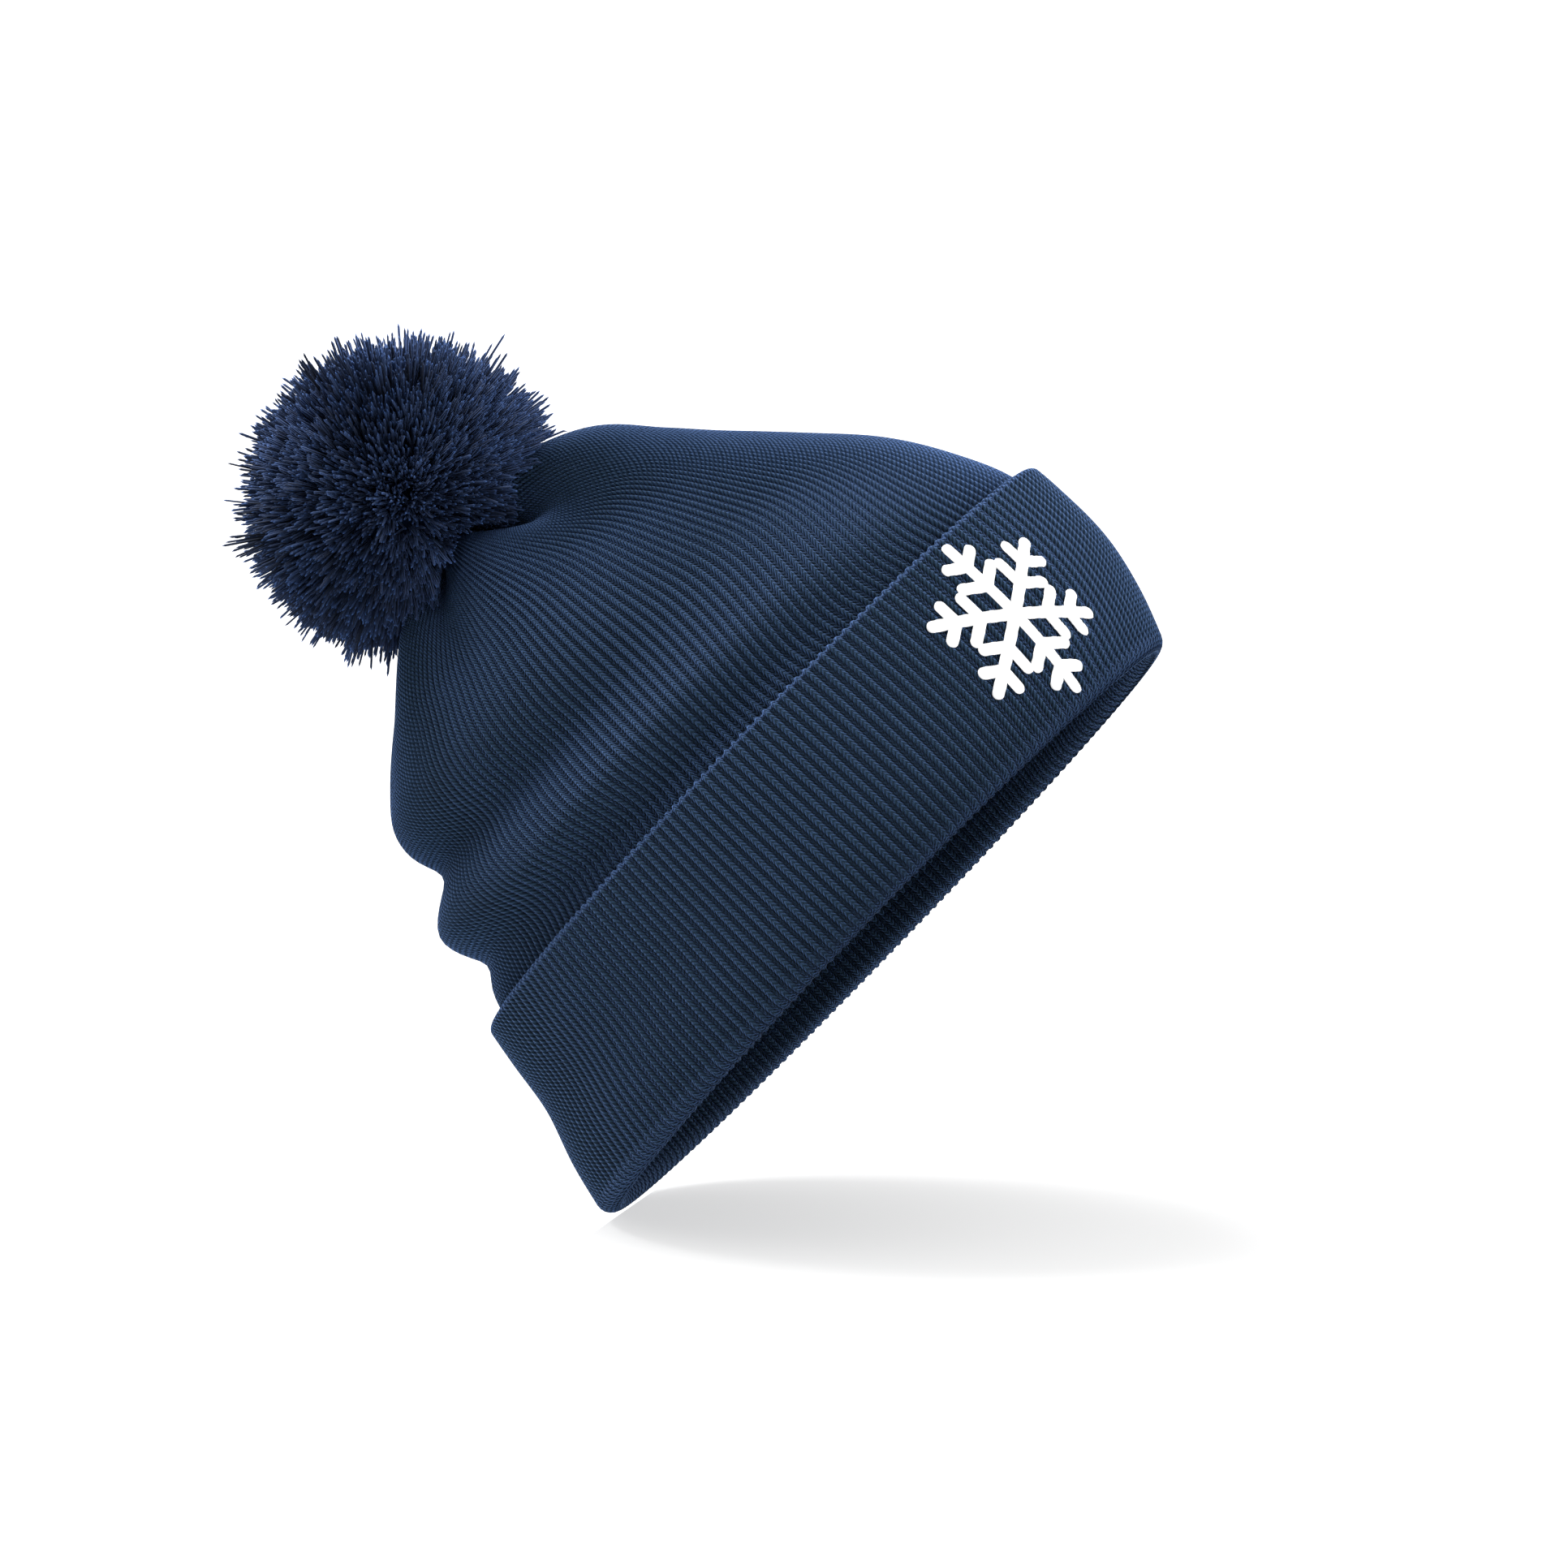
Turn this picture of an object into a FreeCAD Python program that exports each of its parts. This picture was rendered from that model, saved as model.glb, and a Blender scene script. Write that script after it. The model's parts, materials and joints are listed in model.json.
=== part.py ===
"""A knitted beanie with a turned-up cuff and a cut-yarn pom pom, each real piece its own solid.

Millimetres. +Z points from the worn edge to the crown, +X to the forehead, +Y to the wearer's left.
The origin is the centre of the head opening, in the plane of the worn edge.
The knit is a double tube: an outer shell and a lining, and two more plies where the cuff is turned up.
"""
import FreeCAD, Part
import math
import os
from FreeCAD import Matrix, Rotation, Vector

# Overall sizes
HEM_LENGTH = 222.0         # the worn edge, front to back, outside the cuff
HEM_WIDTH = 166.0          # the worn edge, side to side, outside the cuff
CROWN_HEIGHT = 160.0       # worn edge to the top of the crown
CUFF_DEPTH = 60.0          # the turned-up band

# Knit
PLY = 1.6                  # one knitted ply
PLY_GAP = 0.3              # air between two plies that lie on each other
CUFF_EASE = 0.7            # how far the cuff stands off the shell all the way up
CUFF_SLACK = 1.1           # how much further the cuff's top edge stands off

# Crown eye and the yarn that gathers it
EYE_RADIUS = 6.5
EYE_BACK = 6.0             # the eye sits this far behind the centre of the opening
EYE_LIP = 1.5              # flat rim round the eye
GATHER_YARN = 1.6          # diameter of the yarn drawn through the last course
GATHER_GAP = 0.25

# Pom pom and its tie
POM_DIAMETER = 85.0
POM_STAND = 20.5           # tie pivot to the middle of the pom
POM_UNDERCUT = 18.0        # degrees: the underside rises outwards so that the pom can tip
PIVOT_RISE = 1.2           # the tie bends this far above the eye
TIE_YARN = 2.6             # the doubled tie's diameter
LOOP_YARN = 1.0
TIE_GAP = 0.3              # running room round the tie's moving lengths
BINDING_YARN = 2.2
BINDING_TURNS = 3
BINDING_SPACING = 0.1
KNOT_DIAMETER = 10.0
KNOT_HEIGHT = 8.0
TAIL_LENGTH = 12.0
TAIL_SPREAD = 32.0         # degrees from straight down

# Emblem: a six-armed snowflake cut from thin film and pressed on the cuff
EMBLEM_SIZE = 52.0
EMBLEM_STROKE = 3.4
EMBLEM_BARBS = ((0.42, 0.30), (0.72, 0.24))  # where each pair leaves the arm and its length, of the arm
EMBLEM_BARB_LEAN = 60.0    # degrees from the arm
EMBLEM_FILM = 0.4
EMBLEM_GAP = 0.05
EMBLEM_AZIMUTH = -38.0     # degrees round from the forehead, towards the wearer's right
EMBLEM_HEIGHT = 31.0

# Blank woven labels sewn into the back of the lining by their top edge
LABEL_THICK = 0.5
LABEL_CLEAR = 0.5          # from the lining at the sewn edge
LABEL_TOP = 46.0
SIZE_LABEL = (16.0, 20.0)  # width, drop
CARE_LABEL = (24.0, 34.0)
SIZE_LABEL_AZIMUTH = 196.0
CARE_LABEL_AZIMUTH = 170.0
STITCH_LENGTH = 2.4
STITCH_THREAD = 0.4
STITCH_PITCH = 3.6
STITCH_INSET = 2.0         # below the label's top edge
STITCH_GAP = 0.02

# The shell's outside at rest, as shares: height of CROWN_HEIGHT, forward shift of HEM_LENGTH,
# half length of the shell's own half length at the hem, and width of length against that at the hem.
SHELL_OUTLINE = (
    (0.000, 0.000, 1.000, 1.00),
    (0.100, 0.024, 1.010, 1.00),
    (0.200, 0.046, 1.000, 1.00),
    (0.300, 0.054, 0.986, 1.00),
    (0.400, 0.058, 0.960, 1.00),
    (0.500, 0.051, 0.909, 1.00),
    (0.600, 0.041, 0.840, 1.00),
    (0.700, 0.025, 0.749, 1.01),
    (0.800, 0.011, 0.641, 1.03),
    (0.875, 0.012, 0.525, 1.07),
    (0.940, 0.008, 0.385, 1.14),
    (0.975, -0.010, 0.250, 1.22),
)
CUFF_RINGS = 6             # sections a cuff ply is drawn through
SLOPE_STEP = 0.25          # height step when the outline's slope is measured

CUFF_BUILD = 2 * (PLY + PLY_GAP) + CUFF_EASE
SHELL_HALF_LENGTH = HEM_LENGTH / 2 - CUFF_BUILD
SHELL_HALF_WIDTH = HEM_WIDTH / 2 - CUFF_BUILD
HEM_LEVEL = PLY + PLY_GAP  # where the inner plies start, on top of the hem fold
LINING_OUTSIDE = -(PLY + PLY_GAP)
LINING_INSIDE = -(2 * PLY + PLY_GAP)
PIVOT = Vector(-EYE_BACK, 0, CROWN_HEIGHT + PIVOT_RISE)


def stations():
    """The outline's stations in millimetres: height, forward shift, half length, half width."""
    rows = []
    for height, shift, length, width in SHELL_OUTLINE:
        half_width = length * width * SHELL_HALF_WIDTH
        rows.append((height * CROWN_HEIGHT, shift * HEM_LENGTH, length * SHELL_HALF_LENGTH, half_width))
    lip = EYE_RADIUS + EYE_LIP
    rows.append((CROWN_HEIGHT, -EYE_BACK, lip, lip))
    return rows


def tangent(rows, index, column):
    """Slope at a station: the chord between its neighbours."""
    before = rows[max(index - 1, 0)]
    after = rows[min(index + 1, len(rows) - 1)]
    return (after[column] - before[column]) / (after[0] - before[0])


def outline(height):
    """Shift, half length and half width of the shell's outside at a height, by cubic Hermite pieces."""
    rows = stations()
    index = 0
    while index < len(rows) - 2 and height > rows[index + 1][0]:
        index += 1
    low, high = rows[index], rows[index + 1]
    step = high[0] - low[0]
    t = (height - low[0]) / step
    values = []
    for column in (1, 2, 3):
        start = (1 + 2 * t) * (1 - t) ** 2 * low[column] + t * t * (3 - 2 * t) * high[column]
        slopes = t * (1 - t) ** 2 * tangent(rows, index, column)
        slopes -= t * t * (1 - t) * tangent(rows, index + 1, column)
        values.append(start + slopes * step)
    return values


def grown_section(height, grow):
    """Height, shift, half length and half width of the section that lies `grow` outside the shell.

    A steep wall keeps its height and grows sideways; a flat one also moves along its normal.
    """
    shift, half_length, half_width = outline(height)
    below, above = outline(height - SLOPE_STEP), outline(height + SLOPE_STEP)
    length_slope = (above[1] - below[1]) / (2 * SLOPE_STEP)
    width_slope = (above[2] - below[2]) / (2 * SLOPE_STEP)
    rise = 0.0
    if length_slope < -1:
        rise = -length_slope / math.hypot(1, length_slope) * grow
    half_length += length_slope * rise + grow * math.hypot(1, length_slope)
    half_width += width_slope * rise + grow * math.hypot(1, width_slope)
    return height + rise, shift, half_length, half_width


def ellipse_wire(height, shift, half_length, half_width):
    """A level ellipse; its long axis may be either way round near the eye."""
    centre = Vector(shift, 0, height)
    long_end = centre + Vector(half_length, 0, 0)
    side_end = centre + Vector(0, half_width, 0)
    if half_width > half_length:
        long_end, side_end = side_end, centre - Vector(half_length, 0, 0)
    return Part.Wire(Part.Ellipse(long_end, side_end, centre).toShape())


def drawn_solid(sections):
    """One smooth closed solid through level elliptical sections."""
    return Part.makeLoft([ellipse_wire(*section) for section in sections], True, False)


def cuff_heights(start):
    """Evenly spaced levels from `start` to the cuff's top edge."""
    step = (CUFF_DEPTH - start) / (CUFF_RINGS - 1)
    return [start + index * step for index in range(CUFF_RINGS)]


def dome(grow, start):
    """The closed solid inside the surface `grow` from the shell, from a level up to the crown.

    It shares the cuff's levels as far as the cuff goes, so that the plies there lie evenly.
    """
    band = cuff_heights(start)
    clear = CUFF_DEPTH + (band[1] - band[0]) / 2
    crown = [row[0] for row in stations() if row[0] > clear]
    return drawn_solid([grown_section(height, grow) for height in band + crown])


def eye_drill():
    """The round hole at the crown's middle."""
    return Part.makeCylinder(EYE_RADIUS, CROWN_HEIGHT, Vector(-EYE_BACK, 0, CROWN_HEIGHT / 2))


def crown_ply(outside, inside):
    """One ply of the tube from the hem fold to the eye."""
    return dome(outside, HEM_LEVEL).cut(dome(inside, HEM_LEVEL)).cut(eye_drill())


def cuff_section(height, grow):
    """A section of a cuff surface; the slack grows towards the cuff's top edge."""
    return grown_section(height, grow + CUFF_SLACK * (height / CUFF_DEPTH) ** 2)


def cuff_solid(start, grow):
    """The closed solid inside a cuff surface, from a level to the cuff's top edge."""
    return drawn_solid([cuff_section(height, grow) for height in cuff_heights(start)])


def cuff_backing():
    """The cuff's inner ply, round the shell."""
    inside = PLY_GAP + CUFF_EASE
    return cuff_solid(HEM_LEVEL, inside + PLY).cut(cuff_solid(HEM_LEVEL, inside))


def cuff_face():
    """The cuff's outer ply, with the hem fold that carries it under the inner plies."""
    face = cuff_solid(0, CUFF_BUILD).cut(cuff_solid(PLY, CUFF_BUILD - PLY))
    opening = drawn_solid([grown_section(height, LINING_INSIDE) for height in (0, PLY / 2, PLY)])
    return face.cut(opening)


def gather_yarn(surface):
    """A ring of yarn in the eye of the ply whose outside is `surface` from the shell's."""
    middle = CROWN_HEIGHT + surface - PLY / 2
    ring_radius = EYE_RADIUS - GATHER_GAP - GATHER_YARN / 2
    return Part.makeTorus(ring_radius, GATHER_YARN / 2, Vector(-EYE_BACK, 0, middle))


def loop_clearance():
    """Radius of the ball that the tie's loop turns inside."""
    return TIE_YARN / 2 + TIE_GAP


def tie_knot():
    """The knot under the lining's eye, and the doubled yarn that rises from it through both eyes."""
    top = CROWN_HEIGHT + LINING_INSIDE - PLY_GAP
    ball = Part.makeSphere(0.5)
    squash = Matrix()
    squash.scale(KNOT_DIAMETER, KNOT_DIAMETER, KNOT_HEIGHT)
    knot = ball.transformGeometry(squash)
    knot.translate(Vector(PIVOT.x, 0, top - KNOT_HEIGHT / 2))
    rise_start = top - KNOT_HEIGHT / 2
    rise = PIVOT.z - loop_clearance() - rise_start
    return knot.fuse(Part.makeCylinder(TIE_YARN / 2, rise, Vector(PIVOT.x, 0, rise_start)))


def tie_tails():
    """The two trimmed yarn ends below the knot."""
    top = CROWN_HEIGHT + LINING_INSIDE - PLY_GAP - KNOT_HEIGHT / 2
    reach = KNOT_DIAMETER / 2 + PLY_GAP
    tails = []
    for side in (-1, 1):
        lean = math.radians(TAIL_SPREAD) * side
        way = Vector(math.sin(lean), 0, -math.cos(lean))
        start = Vector(PIVOT.x, 0, top) + way * reach
        tails.append(Part.makeCylinder(TIE_YARN / 4, TAIL_LENGTH, start, way))
    return Part.makeCompound(tails)


def tie_loop():
    """The loop of yarn at the bend of the tie, where the pom tips fore and aft."""
    ring_radius = TIE_YARN / 2 - LOOP_YARN / 2
    return Part.makeTorus(ring_radius, LOOP_YARN / 2, PIVOT, Vector(0, 1, 0))


def binding_height():
    """Height of the stack of binding turns."""
    return BINDING_TURNS * BINDING_YARN + (BINDING_TURNS - 1) * BINDING_SPACING


def pom_middle():
    return PIVOT + Vector(0, 0, POM_STAND)


def pom_tie():
    """The doubled yarn from the bend up through the binding."""
    start = PIVOT + Vector(0, 0, loop_clearance())
    top = pom_middle().z + binding_height() / 2
    return Part.makeCylinder(TIE_YARN / 2, top - start.z, start)


def pom_binding():
    """Turns of yarn cinched round the middle of the pom."""
    ring_radius = TIE_YARN / 2 + TIE_GAP + BINDING_YARN / 2
    pitch = BINDING_YARN + BINDING_SPACING
    lowest = pom_middle().z - (BINDING_TURNS - 1) * pitch / 2
    turns = []
    for index in range(BINDING_TURNS):
        centre = Vector(PIVOT.x, 0, lowest + index * pitch)
        turns.append(Part.makeTorus(ring_radius, BINDING_YARN / 2, centre))
    return Part.makeCompound(turns)


def pom_pile():
    """The cut yarn as one ball, dished underneath, with room inside for its tie and binding."""
    ball = Part.makeSphere(POM_DIAMETER / 2, pom_middle())
    reach = POM_DIAMETER
    rise = reach * math.tan(math.radians(POM_UNDERCUT))
    below = PIVOT - Vector(0, 0, reach)
    profile = [below, below + Vector(reach, 0, 0), PIVOT + Vector(reach, 0, rise), PIVOT, below]
    underside = Part.Face(Part.makePolygon(profile)).revolve(PIVOT, Vector(0, 0, 1), 360)
    tunnel_radius = TIE_YARN / 2 + TIE_GAP
    tunnel = Part.makeCylinder(tunnel_radius, POM_STAND, PIVOT)
    waist_radius = tunnel_radius + BINDING_YARN + TIE_GAP
    waist_height = binding_height() + 2 * TIE_GAP
    waist_start = pom_middle() - Vector(0, 0, waist_height / 2)
    waist = Part.makeCylinder(waist_radius, waist_height, waist_start)
    return ball.cut(underside).cut(tunnel).cut(waist)


def bar(start, end, width, thick):
    """A round-ended bar that lies along the XY plane and rises along Z."""
    along = (end - start).normalize()
    side = Vector(-along.y, along.x, 0) * (width / 2)
    edges = [
        Part.LineSegment(start - side, end - side),
        Part.Arc(end - side, end + along * (width / 2), end + side),
        Part.LineSegment(end + side, start + side),
        Part.Arc(start + side, start - along * (width / 2), start - side),
    ]
    wire = Part.Wire([edge.toShape() for edge in edges])
    return Part.Face(wire).extrude(Vector(0, 0, thick))


def snowflake(thick):
    """A six-armed snowflake: straight arms, each with two pairs of barbs."""
    middle = Vector(0, 0, 0)
    reach = EMBLEM_SIZE / 2 - EMBLEM_STROKE / 2
    arm = [bar(middle, Vector(0, reach, 0), EMBLEM_STROKE, thick)]
    for share, barb in EMBLEM_BARBS:
        root = Vector(0, share * reach, 0)
        for side in (-1, 1):
            lean = math.radians(EMBLEM_BARB_LEAN) * side
            tip = root + Vector(math.sin(lean), math.cos(lean), 0) * (barb * reach)
            arm.append(bar(root, tip, EMBLEM_STROKE, thick))
    whole_arm = arm[0].multiFuse(arm[1:])
    arms = [whole_arm.rotated(middle, Vector(0, 0, 1), 60 * turn) for turn in range(6)]
    return arms[0].multiFuse(arms[1:]).removeSplitter()


def wall_place(section, azimuth):
    """Point on a level ellipse and its outward normal, at an angle round from the forehead."""
    height, shift, half_length, half_width = section
    turn = math.radians(azimuth)
    radius = half_length * half_width / math.hypot(half_width * math.cos(turn), half_length * math.sin(turn))
    x, y = radius * math.cos(turn), radius * math.sin(turn)
    normal = Vector(x / half_length ** 2, y / half_width ** 2, 0).normalize()
    return Vector(shift + x, y, height), normal


def facing(normal):
    """Rotation that takes +Z to a level normal and +Y to up."""
    across = Vector(0, 0, 1).cross(normal)
    return Rotation(across, Vector(0, 0, 1), normal, "ZXY")


def emblem():
    """The snowflake film, bent to the cuff's outside."""
    point, normal = wall_place(cuff_section(EMBLEM_HEIGHT, CUFF_BUILD), EMBLEM_AZIMUTH)
    prism = snowflake(EMBLEM_SIZE)
    prism.Placement = FreeCAD.Placement(point - normal * (EMBLEM_SIZE / 2), facing(normal))
    outside = cuff_solid(0, CUFF_BUILD + EMBLEM_GAP + EMBLEM_FILM)
    film = outside.cut(cuff_solid(0, CUFF_BUILD + EMBLEM_GAP))
    return film.common(prism)


def label_frame(azimuth, width):
    """Hinge point and inward level normal of a label that hangs inside the lining's back."""
    section = grown_section(LABEL_TOP, LINING_INSIDE)
    point, outward = wall_place(section, azimuth)
    wall_radius = section[3] ** 2 / section[2]
    bow = (width / 2) ** 2 / (2 * wall_radius)
    return point - outward * (bow + LABEL_CLEAR + LABEL_THICK / 2), outward * -1


def label(size, azimuth):
    """A blank woven label hanging from its sewn top edge."""
    width, drop = size
    point, inward = label_frame(azimuth, width)
    tape = Part.makeBox(width, drop, LABEL_THICK, Vector(-width / 2, -drop, -LABEL_THICK / 2))
    tape.Placement = FreeCAD.Placement(point, facing(inward))
    return tape


def label_stitches(size, azimuth):
    """The row of lock stitches along a label's top edge, on its inward face."""
    width = size[0]
    point, inward = label_frame(azimuth, width)
    count = int((width - STITCH_LENGTH) / STITCH_PITCH) + 1
    level = LABEL_THICK / 2 + STITCH_GAP + STITCH_THREAD / 2
    stitches = []
    for index in range(count):
        start = (index - (count - 1) / 2) * STITCH_PITCH - STITCH_LENGTH / 2
        place = Vector(start, -STITCH_INSET, level)
        stitches.append(Part.makeCylinder(STITCH_THREAD / 2, STITCH_LENGTH, place, Vector(1, 0, 0)))
    row = Part.makeCompound(stitches)
    row.Placement = FreeCAD.Placement(point, facing(inward))
    return row


def build():
    """Every node's shape, by name."""
    return {
        "outer_shell": crown_ply(0, -PLY),
        "lining": crown_ply(LINING_OUTSIDE, LINING_INSIDE),
        "cuff_backing": cuff_backing(),
        "cuff_face": cuff_face(),
        "crown_gather_yarn": gather_yarn(0),
        "lining_gather_yarn": gather_yarn(LINING_OUTSIDE),
        "tie_knot": tie_knot(),
        "tie_tails": tie_tails(),
        "tie_loop": tie_loop(),
        "pom_tie": pom_tie(),
        "pom_binding": pom_binding(),
        "pom_pile": pom_pile(),
        "emblem": emblem(),
        "size_label": label(SIZE_LABEL, SIZE_LABEL_AZIMUTH),
        "size_label_stitches": label_stitches(SIZE_LABEL, SIZE_LABEL_AZIMUTH),
        "care_label": label(CARE_LABEL, CARE_LABEL_AZIMUTH),
        "care_label_stitches": label_stitches(CARE_LABEL, CARE_LABEL_AZIMUTH),
    }


def main():
    os.makedirs("parts", exist_ok=True)
    for node, shape in build().items():
        shape.exportStep("parts/" + node + ".step")


if __name__ == "__main__":
    main()
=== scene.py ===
"""A rib-knitted pom pom beanie: the knit, pom, emblem and labels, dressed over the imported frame.

Metres, in the frame's own axes: +Z to the crown, +X to the forehead, +Y to the wearer's left.
Sizes written in millimetres carry the factor MM.
"""
import json
import math

import bmesh
import bpy
import numpy as np
from mathutils import Matrix, Vector


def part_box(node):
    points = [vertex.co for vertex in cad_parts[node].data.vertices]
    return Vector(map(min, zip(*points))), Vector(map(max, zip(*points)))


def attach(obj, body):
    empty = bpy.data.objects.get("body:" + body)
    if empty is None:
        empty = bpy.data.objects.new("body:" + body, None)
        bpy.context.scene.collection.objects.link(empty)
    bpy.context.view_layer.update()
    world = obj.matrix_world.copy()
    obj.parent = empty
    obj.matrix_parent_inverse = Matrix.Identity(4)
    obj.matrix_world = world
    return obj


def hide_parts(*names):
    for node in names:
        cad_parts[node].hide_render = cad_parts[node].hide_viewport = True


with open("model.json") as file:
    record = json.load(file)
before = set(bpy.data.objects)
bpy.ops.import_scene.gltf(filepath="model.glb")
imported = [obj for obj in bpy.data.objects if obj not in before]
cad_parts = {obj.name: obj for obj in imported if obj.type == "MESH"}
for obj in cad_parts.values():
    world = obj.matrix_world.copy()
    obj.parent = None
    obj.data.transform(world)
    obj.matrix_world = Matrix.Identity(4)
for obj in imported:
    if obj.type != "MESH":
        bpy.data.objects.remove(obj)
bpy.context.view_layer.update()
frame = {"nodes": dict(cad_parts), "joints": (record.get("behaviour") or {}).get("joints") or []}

MM = 0.001

# ---------------------------------------------------------------- sizes read from the frame
CUFF_LOW, CUFF_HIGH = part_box("cuff_face")
PILE_LOW, PILE_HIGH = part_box("pom_pile")
CUFF_DEPTH = CUFF_HIGH.z
CROWN_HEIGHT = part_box("outer_shell")[1].z
JOINTS = {joint["name"]: joint for joint in frame["joints"]}
EYE = Vector(JOINTS["pom_twist"]["pos_m"])
POM_RADIUS = (PILE_HIGH.y - PILE_LOW.y) / 2
POM_MIDDLE = Vector((EYE.x, 0, PILE_HIGH.z - POM_RADIUS))

# ---------------------------------------------------------------- the knit's own sizes
PLY = 1.6 * MM
PLY_GAP = 0.3 * MM
CUFF_EASE = 0.7 * MM
CUFF_SLACK = 1.1 * MM
CUFF_BUILD = 2 * (PLY + PLY_GAP) + CUFF_EASE    # shell's outside to cuff's outside
LINING_INSIDE = -(2 * PLY + PLY_GAP)
HEM_WIDTH_BULGE = 1.01                          # the cuff's widest section against the hem's
HALF_LENGTH = -CUFF_LOW.x - CUFF_BUILD
HALF_WIDTH = CUFF_HIGH.y / HEM_WIDTH_BULGE - CUFF_BUILD
EYE_RIM = 8.0 * MM
EYE_RADIUS = 6.5 * MM

RIBS = 198
RIB_DEPTH = 1.0 * MM                            # crest of the knit wale to the groove beside it
RIM_HIGHLIGHT_WIDTH = 0.95                             # sideways part of the normal where the painted rim highlight has faded out
CROWN_RIM_HIGHLIGHT = 2.0                              # how strongly the crown's front and back middle are painted light, a painted rim highlight
# the same painted rim highlight, weaker, on the cuff
CUFF_RIM_HIGHLIGHT = 0.8
COURSE = 1.42 * MM                              # one row of stitches
# One rib from purl wale to purl wale: share of its width, height against RIB_DEPTH. The grooves
# lie between the broad knit wale and the low purl wale.
RIB_SECTION = ((0.00, -0.75), (0.20, -1.00), (0.35, -0.14), (0.50, 0.00), (0.65, -0.14), (0.80, -1.00))

# The shell's outside: height of CROWN_HEIGHT, forward shift of the hem's whole length outside the
# cuff, half length and half width of the shell's own at the hem.
SHELL_OUTLINE = (
    (0.000, 0.000, 1.000, 1.00),
    (0.100, 0.024, 1.010, 1.00),
    (0.200, 0.046, 1.000, 1.00),
    (0.300, 0.054, 0.986, 1.00),
    (0.400, 0.058, 0.960, 1.00),
    (0.500, 0.051, 0.909, 1.00),
    (0.600, 0.041, 0.840, 1.00),
    (0.700, 0.025, 0.749, 1.01),
    (0.800, 0.011, 0.641, 1.03),
    (0.875, 0.012, 0.525, 1.07),
    (0.940, 0.008, 0.385, 1.14),
    (0.975, -0.010, 0.250, 1.22),
)


# ---------------------------------------------------------------- small tools
def unit(vectors):
    """Each vector of the last axis divided by its length."""
    return vectors / np.maximum(np.linalg.norm(vectors, axis=-1, keepdims=True), 1e-12)


def smoothstep(low, high, values):
    """0 below low, 1 above high, and 3t^2 - 2t^3 between."""
    t = np.clip((values - low) / (high - low), 0, 1)
    return t * t * (3 - 2 * t)


def through(rows, at):
    """Cubic Hermite curve through rows whose first column is the parameter; slopes are the
    chords between each row's neighbours. Returns the other columns at each parameter."""
    rows = np.asarray(rows, float)
    slopes = np.gradient(rows[:, 1:], rows[:, 0], axis=0)
    at = np.asarray(at, float)
    index = np.clip(np.searchsorted(rows[:, 0], at) - 1, 0, len(rows) - 2)
    step = (rows[index + 1, 0] - rows[index, 0])[..., None]
    t = (at[..., None] - rows[index, :1]) / step
    start, end = rows[index, 1:], rows[index + 1, 1:]
    blend = (1 + 2 * t) * (1 - t) ** 2 * start + t * t * (3 - 2 * t) * end
    return blend + step * (t * (1 - t) ** 2 * slopes[index] - t * t * (1 - t) * slopes[index + 1])


# ---------------------------------------------------------------- the hat's surface
def profile_table():
    """The outline's stations as arc length, height, shift, half length, half width."""
    rows = [(h * CROWN_HEIGHT, s * 2 * -CUFF_LOW.x, a * HALF_LENGTH, a * w * HALF_WIDTH)
            for h, s, a, w in SHELL_OUTLINE]
    rows.append((CROWN_HEIGHT, EYE.x, EYE_RIM, EYE_RIM))
    rows = np.array(rows)
    steps = np.hypot(np.diff(rows[:, 0]), np.diff(rows[:, 2]))
    return np.column_stack([np.concatenate([[0], np.cumsum(steps)]), rows])


PROFILE = profile_table()
MERIDIAN = PROFILE[-1, 0]
FINE_S = np.linspace(0, MERIDIAN, 2001)
FINE_Z = through(PROFILE, FINE_S)[:, 0]


def along_at(height):
    """Arc length up the meridian at a height."""
    return np.interp(height, FINE_Z, FINE_S)


def even_angle(turn):
    """Ellipse angle at an even share of the girth: the arc length is summed and read backwards."""
    angle = np.linspace(0, 2 * math.pi, 4001)
    speed = np.hypot(HALF_LENGTH * np.sin(angle), HALF_WIDTH * np.cos(angle))
    girth = np.concatenate([[0], np.cumsum((speed[1:] + speed[:-1]) / 2)])
    return np.interp(turn * girth[-1], girth, angle)


# How the ribs run: the side ribs stand square to the worn edge though the sections shift forward,
# then close on the eye; up the crown they crowd towards the front and back.
SIDE_RIB_TURN = 0.78            # share of CROWN_HEIGHT where the side ribs start towards the eye
CROWDING = 0.022
CROWD_RISE = (66 * MM, 106 * MM)
CROWD_FALL = (132 * MM, 158 * MM)


def rib_shift(along):
    """Two amounts for rib_turn at each arc length: one that holds the side rib's X, one that
    crowds the ribs to the front and back."""
    height, shift, half_length, _ = np.moveaxis(through(PROFILE, along), -1, 0)
    side_x = EYE.x * smoothstep(SIDE_RIB_TURN * CROWN_HEIGHT, CROWN_HEIGHT, height)
    angle = np.arccos(np.clip((side_x - shift) / half_length, -0.9, 0.9))
    turn = np.linspace(0, 0.5, 2001)
    hold = np.interp(angle, even_angle(turn), turn) - 0.25
    crowd = smoothstep(*CROWD_RISE, height) * (1 - smoothstep(*CROWD_FALL, height))
    return hold, -CROWDING * crowd


def rib_turn(turn, along):
    """Share of the girth of a rib: u + hold sin(2 pi u) + crowd sin(4 pi u)."""
    hold, crowd = rib_shift(along)
    return turn + hold * np.sin(2 * math.pi * turn) + crowd * np.sin(4 * math.pi * turn)


def rib_at(share, along):
    """The inverse of rib_turn, by stepping towards it."""
    turn = share
    for _ in range(12):
        turn = turn - (rib_turn(turn, along) - share)
    return turn


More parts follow.
